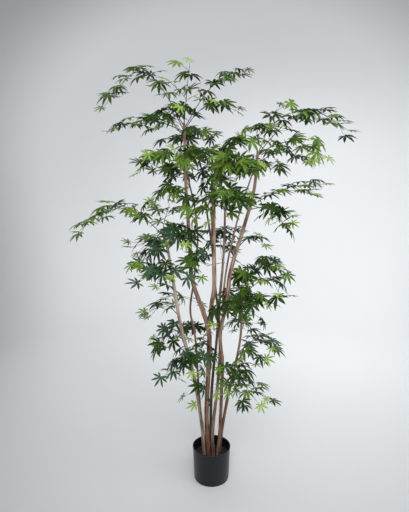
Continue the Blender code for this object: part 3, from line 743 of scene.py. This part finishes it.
# %% Spray rows
# A spray is (name, height of its foot, heading, reach, rise, arch, side twigs, fullness, hang,
# tone).  The heading is in degrees from east, turning to north.  Arch is the hump of its main
# twig, fullness tells how closely its leaves and fine twigs stand, and hang is the most degrees
# that a leaf droops.
SPRAYS = {
    "trunk_left": [
        ("crown_high_arch", 1.80, 200, 0.41, 0.08, 0.18, 0, 1.3, 22, "fresh"),
        ("crown_left_reach", 1.77, 161, 0.43, 0.01, 0.05, 0, 1.0, 15, "green"),
        ("crown_top", 1.82, 305, 0.10, 0.24, 0.02, 1, 0.9, 55, "green"),
        ("crown_right_high", 1.79, 17, 0.35, 0.26, 0.07, 1, 0.8, 22, "green"),
        ("crown_right", 1.78, 337, 0.29, 0.08, 0.06, 2, 0.8, 40, "green"),
        ("crown_head", 1.77, 240, 0.23, 0.02, 0.06, 3, 1.1, 52, "deep"),
        ("crown_left", 1.64, 199, 0.27, -0.05, 0.05, 3, 1.1, 55, "fresh"),
        ("crown_left_low", 1.46, 218, 0.22, 0.00, 0.04, 2, 1.2, 60, "green"),
        ("crown_front", 1.62, 285, 0.25, 0.03, 0.04, 3, 1.0, 60, "green"),
        ("crown_front_left", 1.33, 250, 0.26, -0.05, 0.02, 3, 1.4, 60, "blue"),
        ("crown_low_front", 1.15, 291, 0.18, -0.02, 0.04, 2, 1.1, 60, "green"),
        ("crown_back", 1.69, 76, 0.36, 0.10, 0.03, 3, 0.9, 60, "deep"),
        ("low_front", 0.72, 260, 0.14, -0.07, 0.04, 2, 1.2, 70, "blue"),
        ("low_front_left", 0.53, 240, 0.15, -0.05, 0.05, 2, 0.9, 70, "deep"),
    ],
    "bough_centre": [
        ("centre_right", 1.50, 5, 0.15, 0.22, 0.05, 2, 1.7, 60, "fresh"),
        ("centre_right_front", 1.47, 318, 0.24, 0.14, 0.07, 3, 1.7, 60, "fresh"),
        ("centre_left_front", 1.48, 258, 0.19, -0.09, 0.04, 3, 1.5, 60, "green"),
        ("centre_front", 1.44, 292, 0.25, 0.02, 0.05, 3, 1.6, 60, "green"),
    ],
    "bough_right_back": [
        ("back_right", 1.50, 45, 0.18, 0.12, 0.05, 3, 1.0, 50, "green"),
    ],
    "stem_middle": [
        ("inner_right", 1.25, 93, 0.21, -0.12, 0.08, 3, 1.2, 40, "blue"),
    ],
    "stem_back": [
        ("back_centre", 1.43, 90, 0.27, 0.25, 0.05, 3, 1.5, 60, "green"),
    ],
    "trunk_right": [
        ("right_up", 1.67, 54, 0.23, 0.21, 0.01, 1, 0.8, 50, "green"),
        ("right_arch", 1.67, 351, 0.44, 0.10, 0.12, 1, 1.2, 25, "green"),
        ("right_low", 1.66, 333, 0.36, -0.01, 0.06, 3, 0.7, 60, "fresh"),
        ("right_back", 1.62, 43, 0.42, 0.01, 0.05, 2, 0.7, 45, "green"),
        ("right_reach", 1.43, 25, 0.46, 0.09, 0.03, 1, 0.9, 15, "green"),
        ("right_droop", 1.41, 323, 0.26, -0.04, 0.03, 3, 1.1, 60, "green"),
        ("right_inner", 1.24, 340, 0.16, 0.02, 0.03, 2, 0.8, 25, "blue"),
        ("middle_front", 0.82, 250, 0.13, 0.08, 0.07, 1, 1.0, 70, "green"),
    ],
    "stem_right_low": [
        ("low_right", 0.98, 349, 0.25, 0.14, 0.08, 3, 0.8, 45, "deep"),
        ("low_right_out", 0.95, 316, 0.33, 0.08, 0.08, 3, 0.6, 30, "deep"),
        ("low_right_front", 0.92, 272, 0.29, 0.03, 0.07, 3, 1.3, 65, "deep"),
        ("low_right_left", 1.00, 280, 0.16, 0.08, 0.06, 2, 1.4, 65, "deep"),
        ("low_right_reach", 0.67, 15, 0.25, 0.04, 0.04, 2, 1.1, 30, "blue"),
        ("low_right_mid", 0.66, 305, 0.18, 0.01, 0.03, 2, 0.8, 45, "green"),
        ("low_right_droop", 0.56, 301, 0.25, -0.06, 0.02, 2, 1.1, 60, "green"),
        ("low_right_inner", 0.61, 275, 0.17, -0.06, 0.05, 2, 1.2, 65, "deep"),
        ("low_right_back", 0.78, 80, 0.27, -0.06, 0.04, 3, 0.8, 60, "deep"),
    ],
    "stem_pale_left": [
        ("left_arch", 1.30, 172, 0.45, 0.02, 0.12, 0, 1.3, 32, "fresh"),
        ("left_up", 1.32, 85, 0.24, 0.11, 0.01, 2, 0.7, 45, "fresh"),
        ("left_out", 1.22, 135, 0.26, -0.01, 0.05, 3, 0.7, 50, "green"),
        ("left_front", 1.22, 196, 0.20, -0.04, 0.03, 3, 1.0, 60, "blue"),
        ("left_inner", 1.18, 225, 0.13, -0.09, 0.03, 2, 1.4, 60, "blue"),
        ("low_left_reach", 0.92, 155, 0.20, -0.02, 0.05, 2, 0.8, 30, "green"),
        ("low_left_mid", 0.84, 140, 0.15, -0.09, 0.05, 3, 1.1, 60, "blue"),
        ("low_left_droop", 0.74, 238, 0.12, -0.11, 0.05, 3, 1.2, 65, "blue"),
        ("left_back", 0.98, 95, 0.34, -0.08, 0.04, 3, 0.5, 60, "deep"),
    ],
    "stem_thin_left": [
        ("back_left_top", 1.50, 120, 0.28, 0.09, 0.04, 3, 1.0, 60, "deep"),
        ("back_left_low", 0.76, 100, 0.27, -0.08, 0.05, 3, 0.9, 60, "deep"),
    ],
}
foliage_nodes = ["foliage_" + row[0] for rows in SPRAYS.values() for row in rows]
print("sprays:", len(foliage_nodes))

# %% [markdown]
# ### Twig lines
#
# The twigs are wire inside, bent by hand into arches, and they fork to both sides in turn.  A
# twig could be a curve object, but leaves have to find their places on it, so it is a plain list
# of points: a hump over its reach for the main twig, a sag for the ones that fork off it.

# %% Twig lines
UP = Vector((0, 0, 1))
TWIG_STEPS = 24
NEARLY_ALL = 0.9999           # of a line, where its last stretch still counts
UPRIGHT = 0.95                # slope from which a twig counts as upright, 1 being straight up


def main_line(foot, heading, reach, rise, arch, sway):
    """Points along a twig that arches out over its reach and swings a little to both sides."""
    line = []
    for step in range(TWIG_STEPS + 1):
        t = step / TWIG_STEPS
        lift = rise * t + arch * math.sin(math.pi * t)
        swing = sway * reach * math.sin(math.tau * t)
        line.append(foot + heading * (reach * t) + UP * lift + UP.cross(heading) * swing)
    return line


def place_along(line, share):
    """The point at a share of a line's length, and the line's direction there."""
    spot = min(share, NEARLY_ALL) * (len(line) - 1)
    first = int(spot)
    return line[first].lerp(line[first + 1], spot - first), (line[first + 1] - line[first]).normalized()


def across_twig(tangent, heading):
    """Two directions square to a twig: its upper side and its flank."""
    upper = UP if abs(tangent.z) < UPRIGHT else -heading
    upper = (upper - tangent * upper.dot(tangent)).normalized()
    return upper, tangent.cross(upper)


def line_length(line):
    return sum((b - a).length for a, b in zip(line, line[1:]))


arched = main_line(Vector(), Vector((1, 0, 0)), reach=0.4, rise=0, arch=0.1, sway=0)
print(f"a twig that arches 100 mm high over 400 mm is {line_length(arched) * 1000:.0f} mm long")

# %% Forks
FORK_STEPS = 5
FORK_ANGLE = (38, 62)         # degrees between a twig and one that forks off it
SIDE_TWIG_LIFT = (-20, 10)    # degrees over its flank
SIDE_TWIG_SAG = 0.12          # of its length
SIDE_TWIG_SHARE = 0.42        # of what is left of the main twig
SIDE_TWIG_LEAST = 0.045


def fork_line(line, share, sign, heading, draw, length=None):
    """Points of a twig that forks off another at a share of its length, and sags."""
    root, tangent = place_along(line, share)
    upper, flank = across_twig(tangent, heading)
    fork = math.radians(draw.uniform(*FORK_ANGLE))
    lift = math.radians(draw.uniform(*SIDE_TWIG_LIFT))
    aside = flank * (sign * math.cos(lift)) + upper * math.sin(lift)
    out = tangent * math.cos(fork) + aside * math.sin(fork)
    if length is None:
        length = line_length(line) * (1 - share) * SIDE_TWIG_SHARE + SIDE_TWIG_LEAST
    shares = [step / FORK_STEPS for step in range(FORK_STEPS + 1)]
    return [root + out * (length * t) - UP * (length * SIDE_TWIG_SAG * t * t) for t in shares]

# %% Twigs of a spray
TWIG_SWAY = 0.05              # of its reach
TWIG_END_ROOM = 0.06          # between its tip and the end of its spray
CLIMB_MOST = 0.4              # slope of the line from the limb's middle to the twig's foot
CLIMB_ON_TOP = 4              # the same on the very tip of a limb
ARCH_CLIMB = 5                # how much more an arch steepens it than a rise does
FORKS = (0.32, 0.82)          # of the main twig, from its first side twig to its last
FORK_SCATTER = (0, 0.5)       # of the room that a side twig has there
FINE_SCATTER = (0.2, 0.8)
FINE_TWIG_LENGTH = (0.03, 0.07)
FINE_TWIG_PITCH = 0.11        # at a fullness of 1
BARE_MAIN = 0.12              # the share of a twig that bears no leaf, from its foot
BARE_SIDE = 0.30
BARE_FINE = 1.0               # a fine twig bears one leaf, on its tip


def spray_twigs(row, limb, draw):
    """A spray's heading, its root on the limb's middle line, and its twigs, main twig first.  A
    twig is its line and the share of it that is bare."""
    name, height, turn, reach, rise, arch, side_count, fullness = row[:8]
    turn = math.radians(turn)
    heading = Vector((math.cos(turn), math.sin(turn), 0))
    root, radius = limb.at_height(height)
    climb = min((rise + ARCH_CLIMB * arch) / reach, CLIMB_MOST)
    if height > limb.middle[-1].z:
        climb = CLIMB_ON_TOP
    foot = root + (heading + UP * climb).normalized() * radius
    sway = random.Random(name).uniform(-TWIG_SWAY, TWIG_SWAY)
    line = main_line(foot, heading, max(reach - TWIG_END_ROOM, reach / 2), rise, arch, sway)
    twigs = [(line, BARE_MAIN)]
    for k in range(side_count):
        share = FORKS[0] + (FORKS[1] - FORKS[0]) * (k + draw.uniform(*FORK_SCATTER)) / side_count
        sign = 1 if (k + len(name)) % 2 else -1
        twigs.append((fork_line(line, share, sign, heading, draw), BARE_SIDE))
    fine = []
    for twig, bare in twigs:
        count = round(line_length(twig) * (1 - bare) / FINE_TWIG_PITCH * fullness)
        for k in range(count):
            share = bare + (1 - bare) * (k + draw.uniform(*FINE_SCATTER)) / count
            length = draw.uniform(*FINE_TWIG_LENGTH)
            fine.append((fork_line(twig, share, 1 if k % 2 else -1, heading, draw, length), BARE_FINE))
    return heading, root, twigs + fine


print(f"main twigs end {TWIG_END_ROOM * 1000:.0f} mm inside their sprays")

# %% [markdown]
# ### Places for leaves
#
# A leaf's stalk leaves its twig at an angle, and the blade hangs from the stalk's end, facing
# up.  Leaves scattered at random would cut through each other and the stems.  So each is tried
# first as a coarse star: where it would touch a stem, another leaf or the edge of its spray, it
# is drawn again, and after some tries left out.

# %% Leaf stars
STAR = ((-128, 0.58), (-84, 0.80), (-42, 0.95), (0, 1.0), (42, 0.95), (84, 0.80), (128, 0.58))
STAR_HALF_ANGLE = 9           # degrees from an arm's middle to its shoulder
STAR_SHOULDER = 0.55          # of its length
STAR_DROOP = 0.15


def star_tree(hub, turned, radius):
    """The points of a coarse star where a leaf would be, and a tree that tells what it touches."""
    points = [hub]
    for angle, reach in STAR:
        shoulder = reach * STAR_SHOULDER
        for turn, share in ((angle - STAR_HALF_ANGLE, shoulder), (angle, reach),
                            (angle + STAR_HALF_ANGLE, shoulder)):
            turn = math.radians(turn)
            out = Vector((math.cos(turn), math.sin(turn), -STAR_DROOP * share)) * (radius * share)
            points.append(hub + turned @ out)
    arms = [1 + 3 * k for k in range(len(STAR))]
    faces = [(0, arm, arm + 1) for arm in arms] + [(0, arm + 1, arm + 2) for arm in arms]
    return points, BVHTree.FromPolygons(points, faces)


def blade_turn(stalk, droop, roll):
    """How a blade is turned that heads the way its stalk does, droops from the level and rolls.
    The columns are the midrib's direction, the blade's side and its upper face."""
    side = UP.cross(stalk).normalized()
    midrib = Matrix.Rotation(droop, 3, side) @ side.cross(UP)
    side = Matrix.Rotation(roll, 3, midrib) @ side
    return Matrix((midrib, side, midrib.cross(side))).transposed()


print("points of a star:", len(star_tree(Vector(), Matrix.Identity(3), 1)[0]))

# %% Places for leaves
# A leaf is its hub, its turn, its longest lobe, a tree of its star and whether it is young.
Leaf = namedtuple("Leaf", "hub turned radius tree young")

SPRAY_ROUND = 0.23            # the most that a leaf is away from its main twig
STALK_LENGTH = (0.018, 0.034)
ROUND_TWIG = (10, 95)         # degrees from a twig's upper side to a stalk
OPENING = (35, 70)            # degrees from a twig's direction to a stalk
TIP_OPENING = (0, 30)
RISE_SHARE = 0.3              # how far a leaf points up, of its spray's hang
ROLL_SHARE = 0.85             # how far it rolls to a side, of the same
LEAF_TRIES = 16
leaves = []


def grow_leaf(line, share, sign, heading, draw, main, hang, radius, young):
    """A leaf on a twig and the points of its stalk, or None where no drawn place is free."""
    spot, tangent = place_along(line, share)
    upper, flank = across_twig(tangent, heading)
    for _ in range(LEAF_TRIES):
        round_twig = math.radians(draw.uniform(*ROUND_TWIG)) * sign
        opening = math.radians(draw.uniform(*(OPENING if share < 1 else TIP_OPENING)))
        radial = upper * math.cos(round_twig) + flank * math.sin(round_twig)
        stalk = tangent * math.cos(opening) + radial * math.sin(opening)
        hub = spot + stalk * draw.uniform(*STALK_LENGTH)
        droop = math.radians(draw.uniform(-hang * RISE_SHARE, hang))
        turned = blade_turn(stalk, droop, math.radians(draw.uniform(-hang, hang)) * ROLL_SHARE)
        points, tree = star_tree(hub, turned, radius)
        if any(main.find_nearest(point)[3] > SPRAY_ROUND for point in points):
            continue
        near = [leaf for leaf in leaves if (leaf.hub - hub).length < leaf.radius + radius]
        if not any(tree.overlap(other.tree) for other in [*limbs.values(), *near]):
            return Leaf(hub, turned, radius, tree, young), [spot, spot.lerp(hub, 0.5), hub]
    return None


print("a leaf is tried up to", LEAF_TRIES, "times")

# %% [markdown]
# ### Growing
#
# Each spray is grown in turn, from its foot to its tips: first its twigs, then a leaf on each
# twig's end, a small young one on the longer twigs, and a pair at every step back from there.
# The greens could drift at random over the crown, but the real leaves were put on spray by
# spray, so each spray has a tone, which deals its leaves their colours.

# %% Grow the sprays
LEAF_RADIUS = (0.051, 0.072)
YOUNG_RADIUS = (0.040, 0.050)
LEAF_PITCH = 0.060            # along a twig, at a fullness of 1
TWIG_RADIUS = (0.0021, 0.0010)
SIDE_TWIG_RADIUS = (0.0012, 0.0008)
STALK_RADIUS = (0.0007, 0.0005)
MAIN_TWIG_GUARD = 0.001       # radius of the coarse tube that a leaf's distance is measured from
# The chances of each leaf colour in a spray of a tone, for a grown leaf and for a young one.
TONES = {
    "deep": ({"dark": 0.8, "green": 0.2}, {"fresh": 0.5, "light": 0.5}),
    "green": ({"dark": 0.35, "green": 0.5, "fresh": 0.15}, {"fresh": 0.3, "light": 0.7}),
    "fresh": ({"dark": 0.2, "green": 0.5, "fresh": 0.3}, {"light": 1.0}),
    "blue": ({"blue": 0.6, "dark": 0.4}, {"fresh": 0.3, "light": 0.7}),
}
leaf_tones, twig_lines, stalk_lines = [], [], []


def deal_tone(tone, young, draw):
    chances = TONES[tone][1 if young else 0]
    return draw.choices(list(chances), list(chances.values()))[0]


def tapered(line, first, last):
    """A line with the radius at each of its points."""
    return line, [first + (last - first) * k / (len(line) - 1) for k in range(len(line))]


def leaf_shares(line, bare, fullness):
    """Shares of a twig's length where leaves stand: its tip, and back from there."""
    pitch = LEAF_PITCH / fullness / line_length(line)
    shares = [1.0]
    while shares[-1] - pitch > bare:
        shares.append(shares[-1] - pitch)
    return shares


def grow_spray(row, limb):
    """Adds a spray's twigs, leaves and stalks to the lists above."""
    name, fullness, hang, tone = row[0], *row[7:]
    draw = random.Random(name + " leaves")
    heading, root, twigs = spray_twigs(row, limb, draw)
    line, radii = tapered(twigs[0][0], *TWIG_RADIUS)
    twig_lines.append(([root] + line, [TWIG_RADIUS[0]] + radii))
    twig_lines.extend(tapered(twig, *SIDE_TWIG_RADIUS) for twig, _ in twigs[1:])
    main = prism(line, [MAIN_TWIG_GUARD] * len(line), sides=3)
    for twig, bare in twigs:
        for share in leaf_shares(twig, bare, fullness):
            young = share == 1.0 and bare < 1
            radius = draw.uniform(*(YOUNG_RADIUS if young else LEAF_RADIUS))
            for sign in (1,) if share == 1.0 else (1, -1):
                grown = grow_leaf(twig, share, sign, heading, draw, main, hang, radius, young)
                if grown:
                    leaves.append(grown[0])
                    leaf_tones.append(deal_tone(tone, young, draw))
                    stalk_lines.append(tapered(grown[1], *STALK_RADIUS))


for limb_name, rows in SPRAYS.items():
    for row in rows:
        grow_spray(row, limbs[limb_name])
print("leaves:", len(leaves), "twigs:", len(twig_lines))

# %% [markdown]
# ## Twigs and stalks
#
# The twigs are wire in brown plastic, and the leaf stalks are thinner and green.  A curve object
# for each would be slow.  They are bare lines in two meshes instead, with a radius at each
# point, and the bark tree gives them a skin of few sides with hardly any relief.

# %% Twigs and stalks
def wire_material(name, dark, light):
    """Coated wire, a little blotched."""
    made, tree, shader = new_material(name)
    blotch = noise(tree, object_place(tree), scale=120, detail=3)
    feed(tree, shader, {
        "Base Color": ramp(tree, blotch, (0.35, dark), (0.65, light)), "Roughness": 0.55,
        "Normal": bump(tree, blotch, distance=0.0003, strength=0.4)})
    return made


TWIG_BROWNS = ((0.020, 0.014, 0.010), (0.060, 0.045, 0.030))
STALK_GREENS = ((0.035, 0.050, 0.018), (0.090, 0.115, 0.040))

skin("twigs", twig_lines, {
    "Sides": 5, "Furrow Depth": 0.0003, "Joint Swelling": 0.0002, "Joints per Metre": 40.0,
    "Material": wire_material("twig_finish", *TWIG_BROWNS)}, "twig_brown", *foliage_nodes)
skin("leaf_stalks", stalk_lines, {
    "Sides": 4, "Furrow Depth": 0.0, "Joint Swelling": 0.0,
    "Material": wire_material("stalk_finish", *STALK_GREENS)}, "leaf_green", *foliage_nodes)

# %% [markdown]
# ## Leaf shapes
#
# A maple leaf is a hand of narrow lobes round one point.  Each lobe is pointed, widest in its
# middle, folded a little along its midrib and bent down towards its tip.  A flat card with a
# picture of a leaf would show straight edges from close by, so a few shapes are drawn with true
# lobes, from their angles and lengths, and each has its own small errors.

# %% Leaf outline
WEB = 0.17                    # where neighbouring lobes part, of a leaf's length
WEB_END = 0.6                 # how far the outermost webs reach, of the others
WEB_LIFT = 0.012
LOBE_MIDDLE = 0.5             # where a lobe is widest, of its length
LOBE_SHOULDER = 0.78          # where it begins to close to its tip
SHOULDER_WIDTH = 0.62         # of its width in the middle
LOBE_FOLD = 0.35              # how high a lobe's edges stand over its midrib, of half its width
SLIM = 0.6                    # how wide the shortest of lobes would be, of the longest
ANGLE_ERROR = 4               # degrees
LENGTH_ERROR = 0.07


def leaf_shape(name, angles, reaches, droop, width, draw):
    """A leaf of unit length: the midrib along +X, the upper face towards +Z."""
    points, faces, coords = [Vector((0, 0, 0))], [], [(0.5, 0.0)]

    def put(turn, share, aside=0.0, lift=0.0, across=0.5):
        out = Vector((math.cos(turn), math.sin(turn), 0))
        flat = out * share + Vector((-out.y, out.x, 0)) * aside
        points.append(flat + Vector((0, 0, lift - droop * flat.length_squared)))
        coords.append((across, share))
        return len(points) - 1

    turns = [math.radians(angle + draw.uniform(-ANGLE_ERROR, ANGLE_ERROR)) for angle in angles]
    gaps = [(a + b) / 2 for a, b in zip(turns, turns[1:])]
    gaps = [turns[0] - (gaps[0] - turns[0])] + gaps + [turns[-1] + (turns[-1] - gaps[-1])]
    ends = (0, len(turns))
    webs = [put(gap, WEB * (WEB_END if k in ends else 1), 0, WEB_LIFT, 0) for k, gap in enumerate(gaps)]
    for k, (turn, reach) in enumerate(zip(turns, reaches)):
        reach *= draw.uniform(1 - LENGTH_ERROR, 1 + LENGTH_ERROR)
        wide = width * (SLIM + (1 - SLIM) * reach)
        rib_low = put(turn, reach * LOBE_MIDDLE)
        rib_high = put(turn, reach * LOBE_SHOULDER)
        tip = put(turn, reach)
        for side in (-1, 1):
            edge = 0.5 + side * 0.5
            narrow = wide * SHOULDER_WIDTH
            web = webs[k + (side > 0)]
            low = put(turn, reach * LOBE_MIDDLE, side * wide, wide * LOBE_FOLD, edge)
            high = put(turn, reach * LOBE_SHOULDER, side * narrow, narrow * LOBE_FOLD, edge)
            half = [(0, rib_low, low, web), (rib_low, rib_high, high, low), (rib_high, tip, high)]
            faces += half if side > 0 else [face[::-1] for face in half]
    made = mesh_object(name, points, faces=faces, smooth=False)
    blade = made.data.uv_layers.new(name="blade")
    for loop in made.data.loops:
        blade.data[loop.index].uv = coords[loop.vertex_index]
    return made

# %% Leaf shapes
SEVEN = ((-126, -84, -42, 0, 42, 84, 126), (0.55, 0.80, 0.95, 1.0, 0.95, 0.80, 0.55))
NINE = ((-144, -108, -72, -36, 0, 36, 72, 108, 144),
        (0.42, 0.66, 0.86, 0.97, 1.0, 0.97, 0.86, 0.66, 0.42))
# Each shape is (lobe angles, lobe lengths, droop, half a lobe's width).  Young leaves all take
# the first, which has slender lobes.
SHAPES = [(*SEVEN, 0.06, 0.105), (*NINE, 0.15, 0.12), (*SEVEN, 0.30, 0.14),
          (*NINE, 0.45, 0.12), (*SEVEN, 0.55, 0.135), (*SEVEN, 0.15, 0.145)]

shapes = bpy.data.collections.new("leaf_shapes")
for k, shape_row in enumerate(SHAPES):
    shape = leaf_shape(f"leaf_shape_{k}", *shape_row, random.Random(k))
    bpy.context.scene.collection.objects.unlink(shape)
    shapes.objects.link(shape)

# %% [markdown]
# ### Dealing the leaves
#
# Copying a mesh by hand for every leaf would fill the file with objects.  Geometry Nodes deal
# the shapes out instead: every place is one bare point that knows its turn, its size and the
# number of its shape.

# %% Leaf tree
tree, given = geometry_tree("deal_leaves", [
    ("Leaf Shapes", "Collection", None), ("Size", "Float", 1.0), ("Material", "Material", None)])
cards = node(tree, "GeometryNodeCollectionInfo", {
    "Collection": given["Leaf Shapes"], "Separate Children": True, "Reset Children": True}).outputs[0]
dealt = node(tree, "GeometryNodeInstanceOnPoints", {
    "Points": given["Geometry"], "Instance": cards, "Pick Instance": True,
    "Instance Index": attribute(tree, "shape", "INT"),
    "Rotation": attribute(tree, "turn", "QUATERNION"),
    "Scale": maths(tree, "MULTIPLY", attribute(tree, "size"), given["Size"])}).outputs[0]
leaf_tree = finish_tree(tree, dealt, given["Material"])
print("leaf tree:", len(tree.nodes), "nodes")

# %% [markdown]
# ### Leaf finish
#
# The leaves are printed cloth with a faint sheen: greens that drift from leaf to leaf, a pale
# midrib in every lobe, and fine side veins.  Each point of a blade knows how far it is across
# its lobe and along it, so the veins are worked out from those two numbers, not painted.

# %% Leaf finish
MIDRIB = (0.02, 0.09)         # of a lobe's width, from its middle to where the midrib fades out
MIDRIB_SHARE = 0.45           # of the vein colour
VEIN_SHARE = 0.12
VEIN_SLANT = 0.35
VEIN_RATE = 90.0              # of the wave that makes side veins, in radians to a leaf's length
VEIN_CREST = 0.75             # of that wave, from where a vein shows
CLOTH_GLOSS = 0.14


def leaf_material(name, dark, light, vein):
    """Printed cloth: two greens that drift into each other, pale midribs and fine side veins."""
    made, tree, shader = new_material(name)
    cloud = noise(tree, object_place(tree), scale=22, detail=3)
    colour = ramp(tree, cloud, (0.35, dark), (0.65, light))
    blade = node(tree, "ShaderNodeUVMap", uv_map="blade").outputs[0]
    split = node(tree, "ShaderNodeSeparateXYZ", {"Vector": blade}).outputs
    aside = maths(tree, "ABSOLUTE", maths(tree, "SUBTRACT", split["X"], 0.5))
    slant = maths(tree, "SUBTRACT", split["Y"], maths(tree, "MULTIPLY", aside, VEIN_SLANT))
    wave = maths(tree, "SINE", maths(tree, "MULTIPLY", slant, VEIN_RATE))
    midrib = remap(tree, aside, *MIDRIB, MIDRIB_SHARE, 0.0)
    share = maths(tree, "MAXIMUM", midrib, remap(tree, wave, VEIN_CREST, 1, to_high=VEIN_SHARE))
    feed(tree, shader, {
        "Base Color": mix(tree, share, colour, (*vein, 1)), "Roughness": 0.55,
        "Specular IOR Level": CLOTH_GLOSS,
        "Normal": bump(tree, wave, distance=0.0003, strength=0.3)})
    return made


# Each leaf colour is (record slot, dark, light, vein).
LEAF_COLOURS = {
    "dark": ("leaf_dark", (0.011, 0.034, 0.004), (0.034, 0.082, 0.011), (0.08, 0.15, 0.04)),
    "green": ("leaf_green", (0.055, 0.120, 0.013), (0.118, 0.215, 0.028), (0.20, 0.31, 0.08)),
    "blue": ("leaf_blue", (0.020, 0.058, 0.023), (0.054, 0.115, 0.050), (0.13, 0.20, 0.11)),
    "fresh": ("leaf_green", (0.092, 0.172, 0.012), (0.160, 0.270, 0.026), (0.26, 0.38, 0.08)),
    "light": ("leaf_light", (0.200, 0.320, 0.045), (0.320, 0.470, 0.095), (0.44, 0.58, 0.19)),
}
print("leaf colours:", len(LEAF_COLOURS))

# %% Leaves
for name, (slot, *greens) in LEAF_COLOURS.items():
    chosen = [leaf for leaf, tone in zip(leaves, leaf_tones) if tone == name]
    draw = random.Random(name)
    piece = mesh_object("leaves_" + name, [leaf.hub for leaf in chosen], smooth=False)
    set_points(piece, "turn", "QUATERNION", [n for leaf in chosen for n in leaf.turned.to_quaternion()])
    set_points(piece, "size", "FLOAT", [leaf.radius for leaf in chosen])
    kinds = [0 if leaf.young else draw.randrange(len(SHAPES)) for leaf in chosen]
    set_points(piece, "shape", "INT", kinds)
    run_tree(piece, leaf_tree, {
        "Leaf Shapes": shapes, "Material": leaf_material("leaf_" + name, *greens)})
    dress(piece, slot, *foliage_nodes)

for shape in list(shapes.objects):
    bpy.data.objects.remove(shape)
bpy.data.collections.remove(shapes)
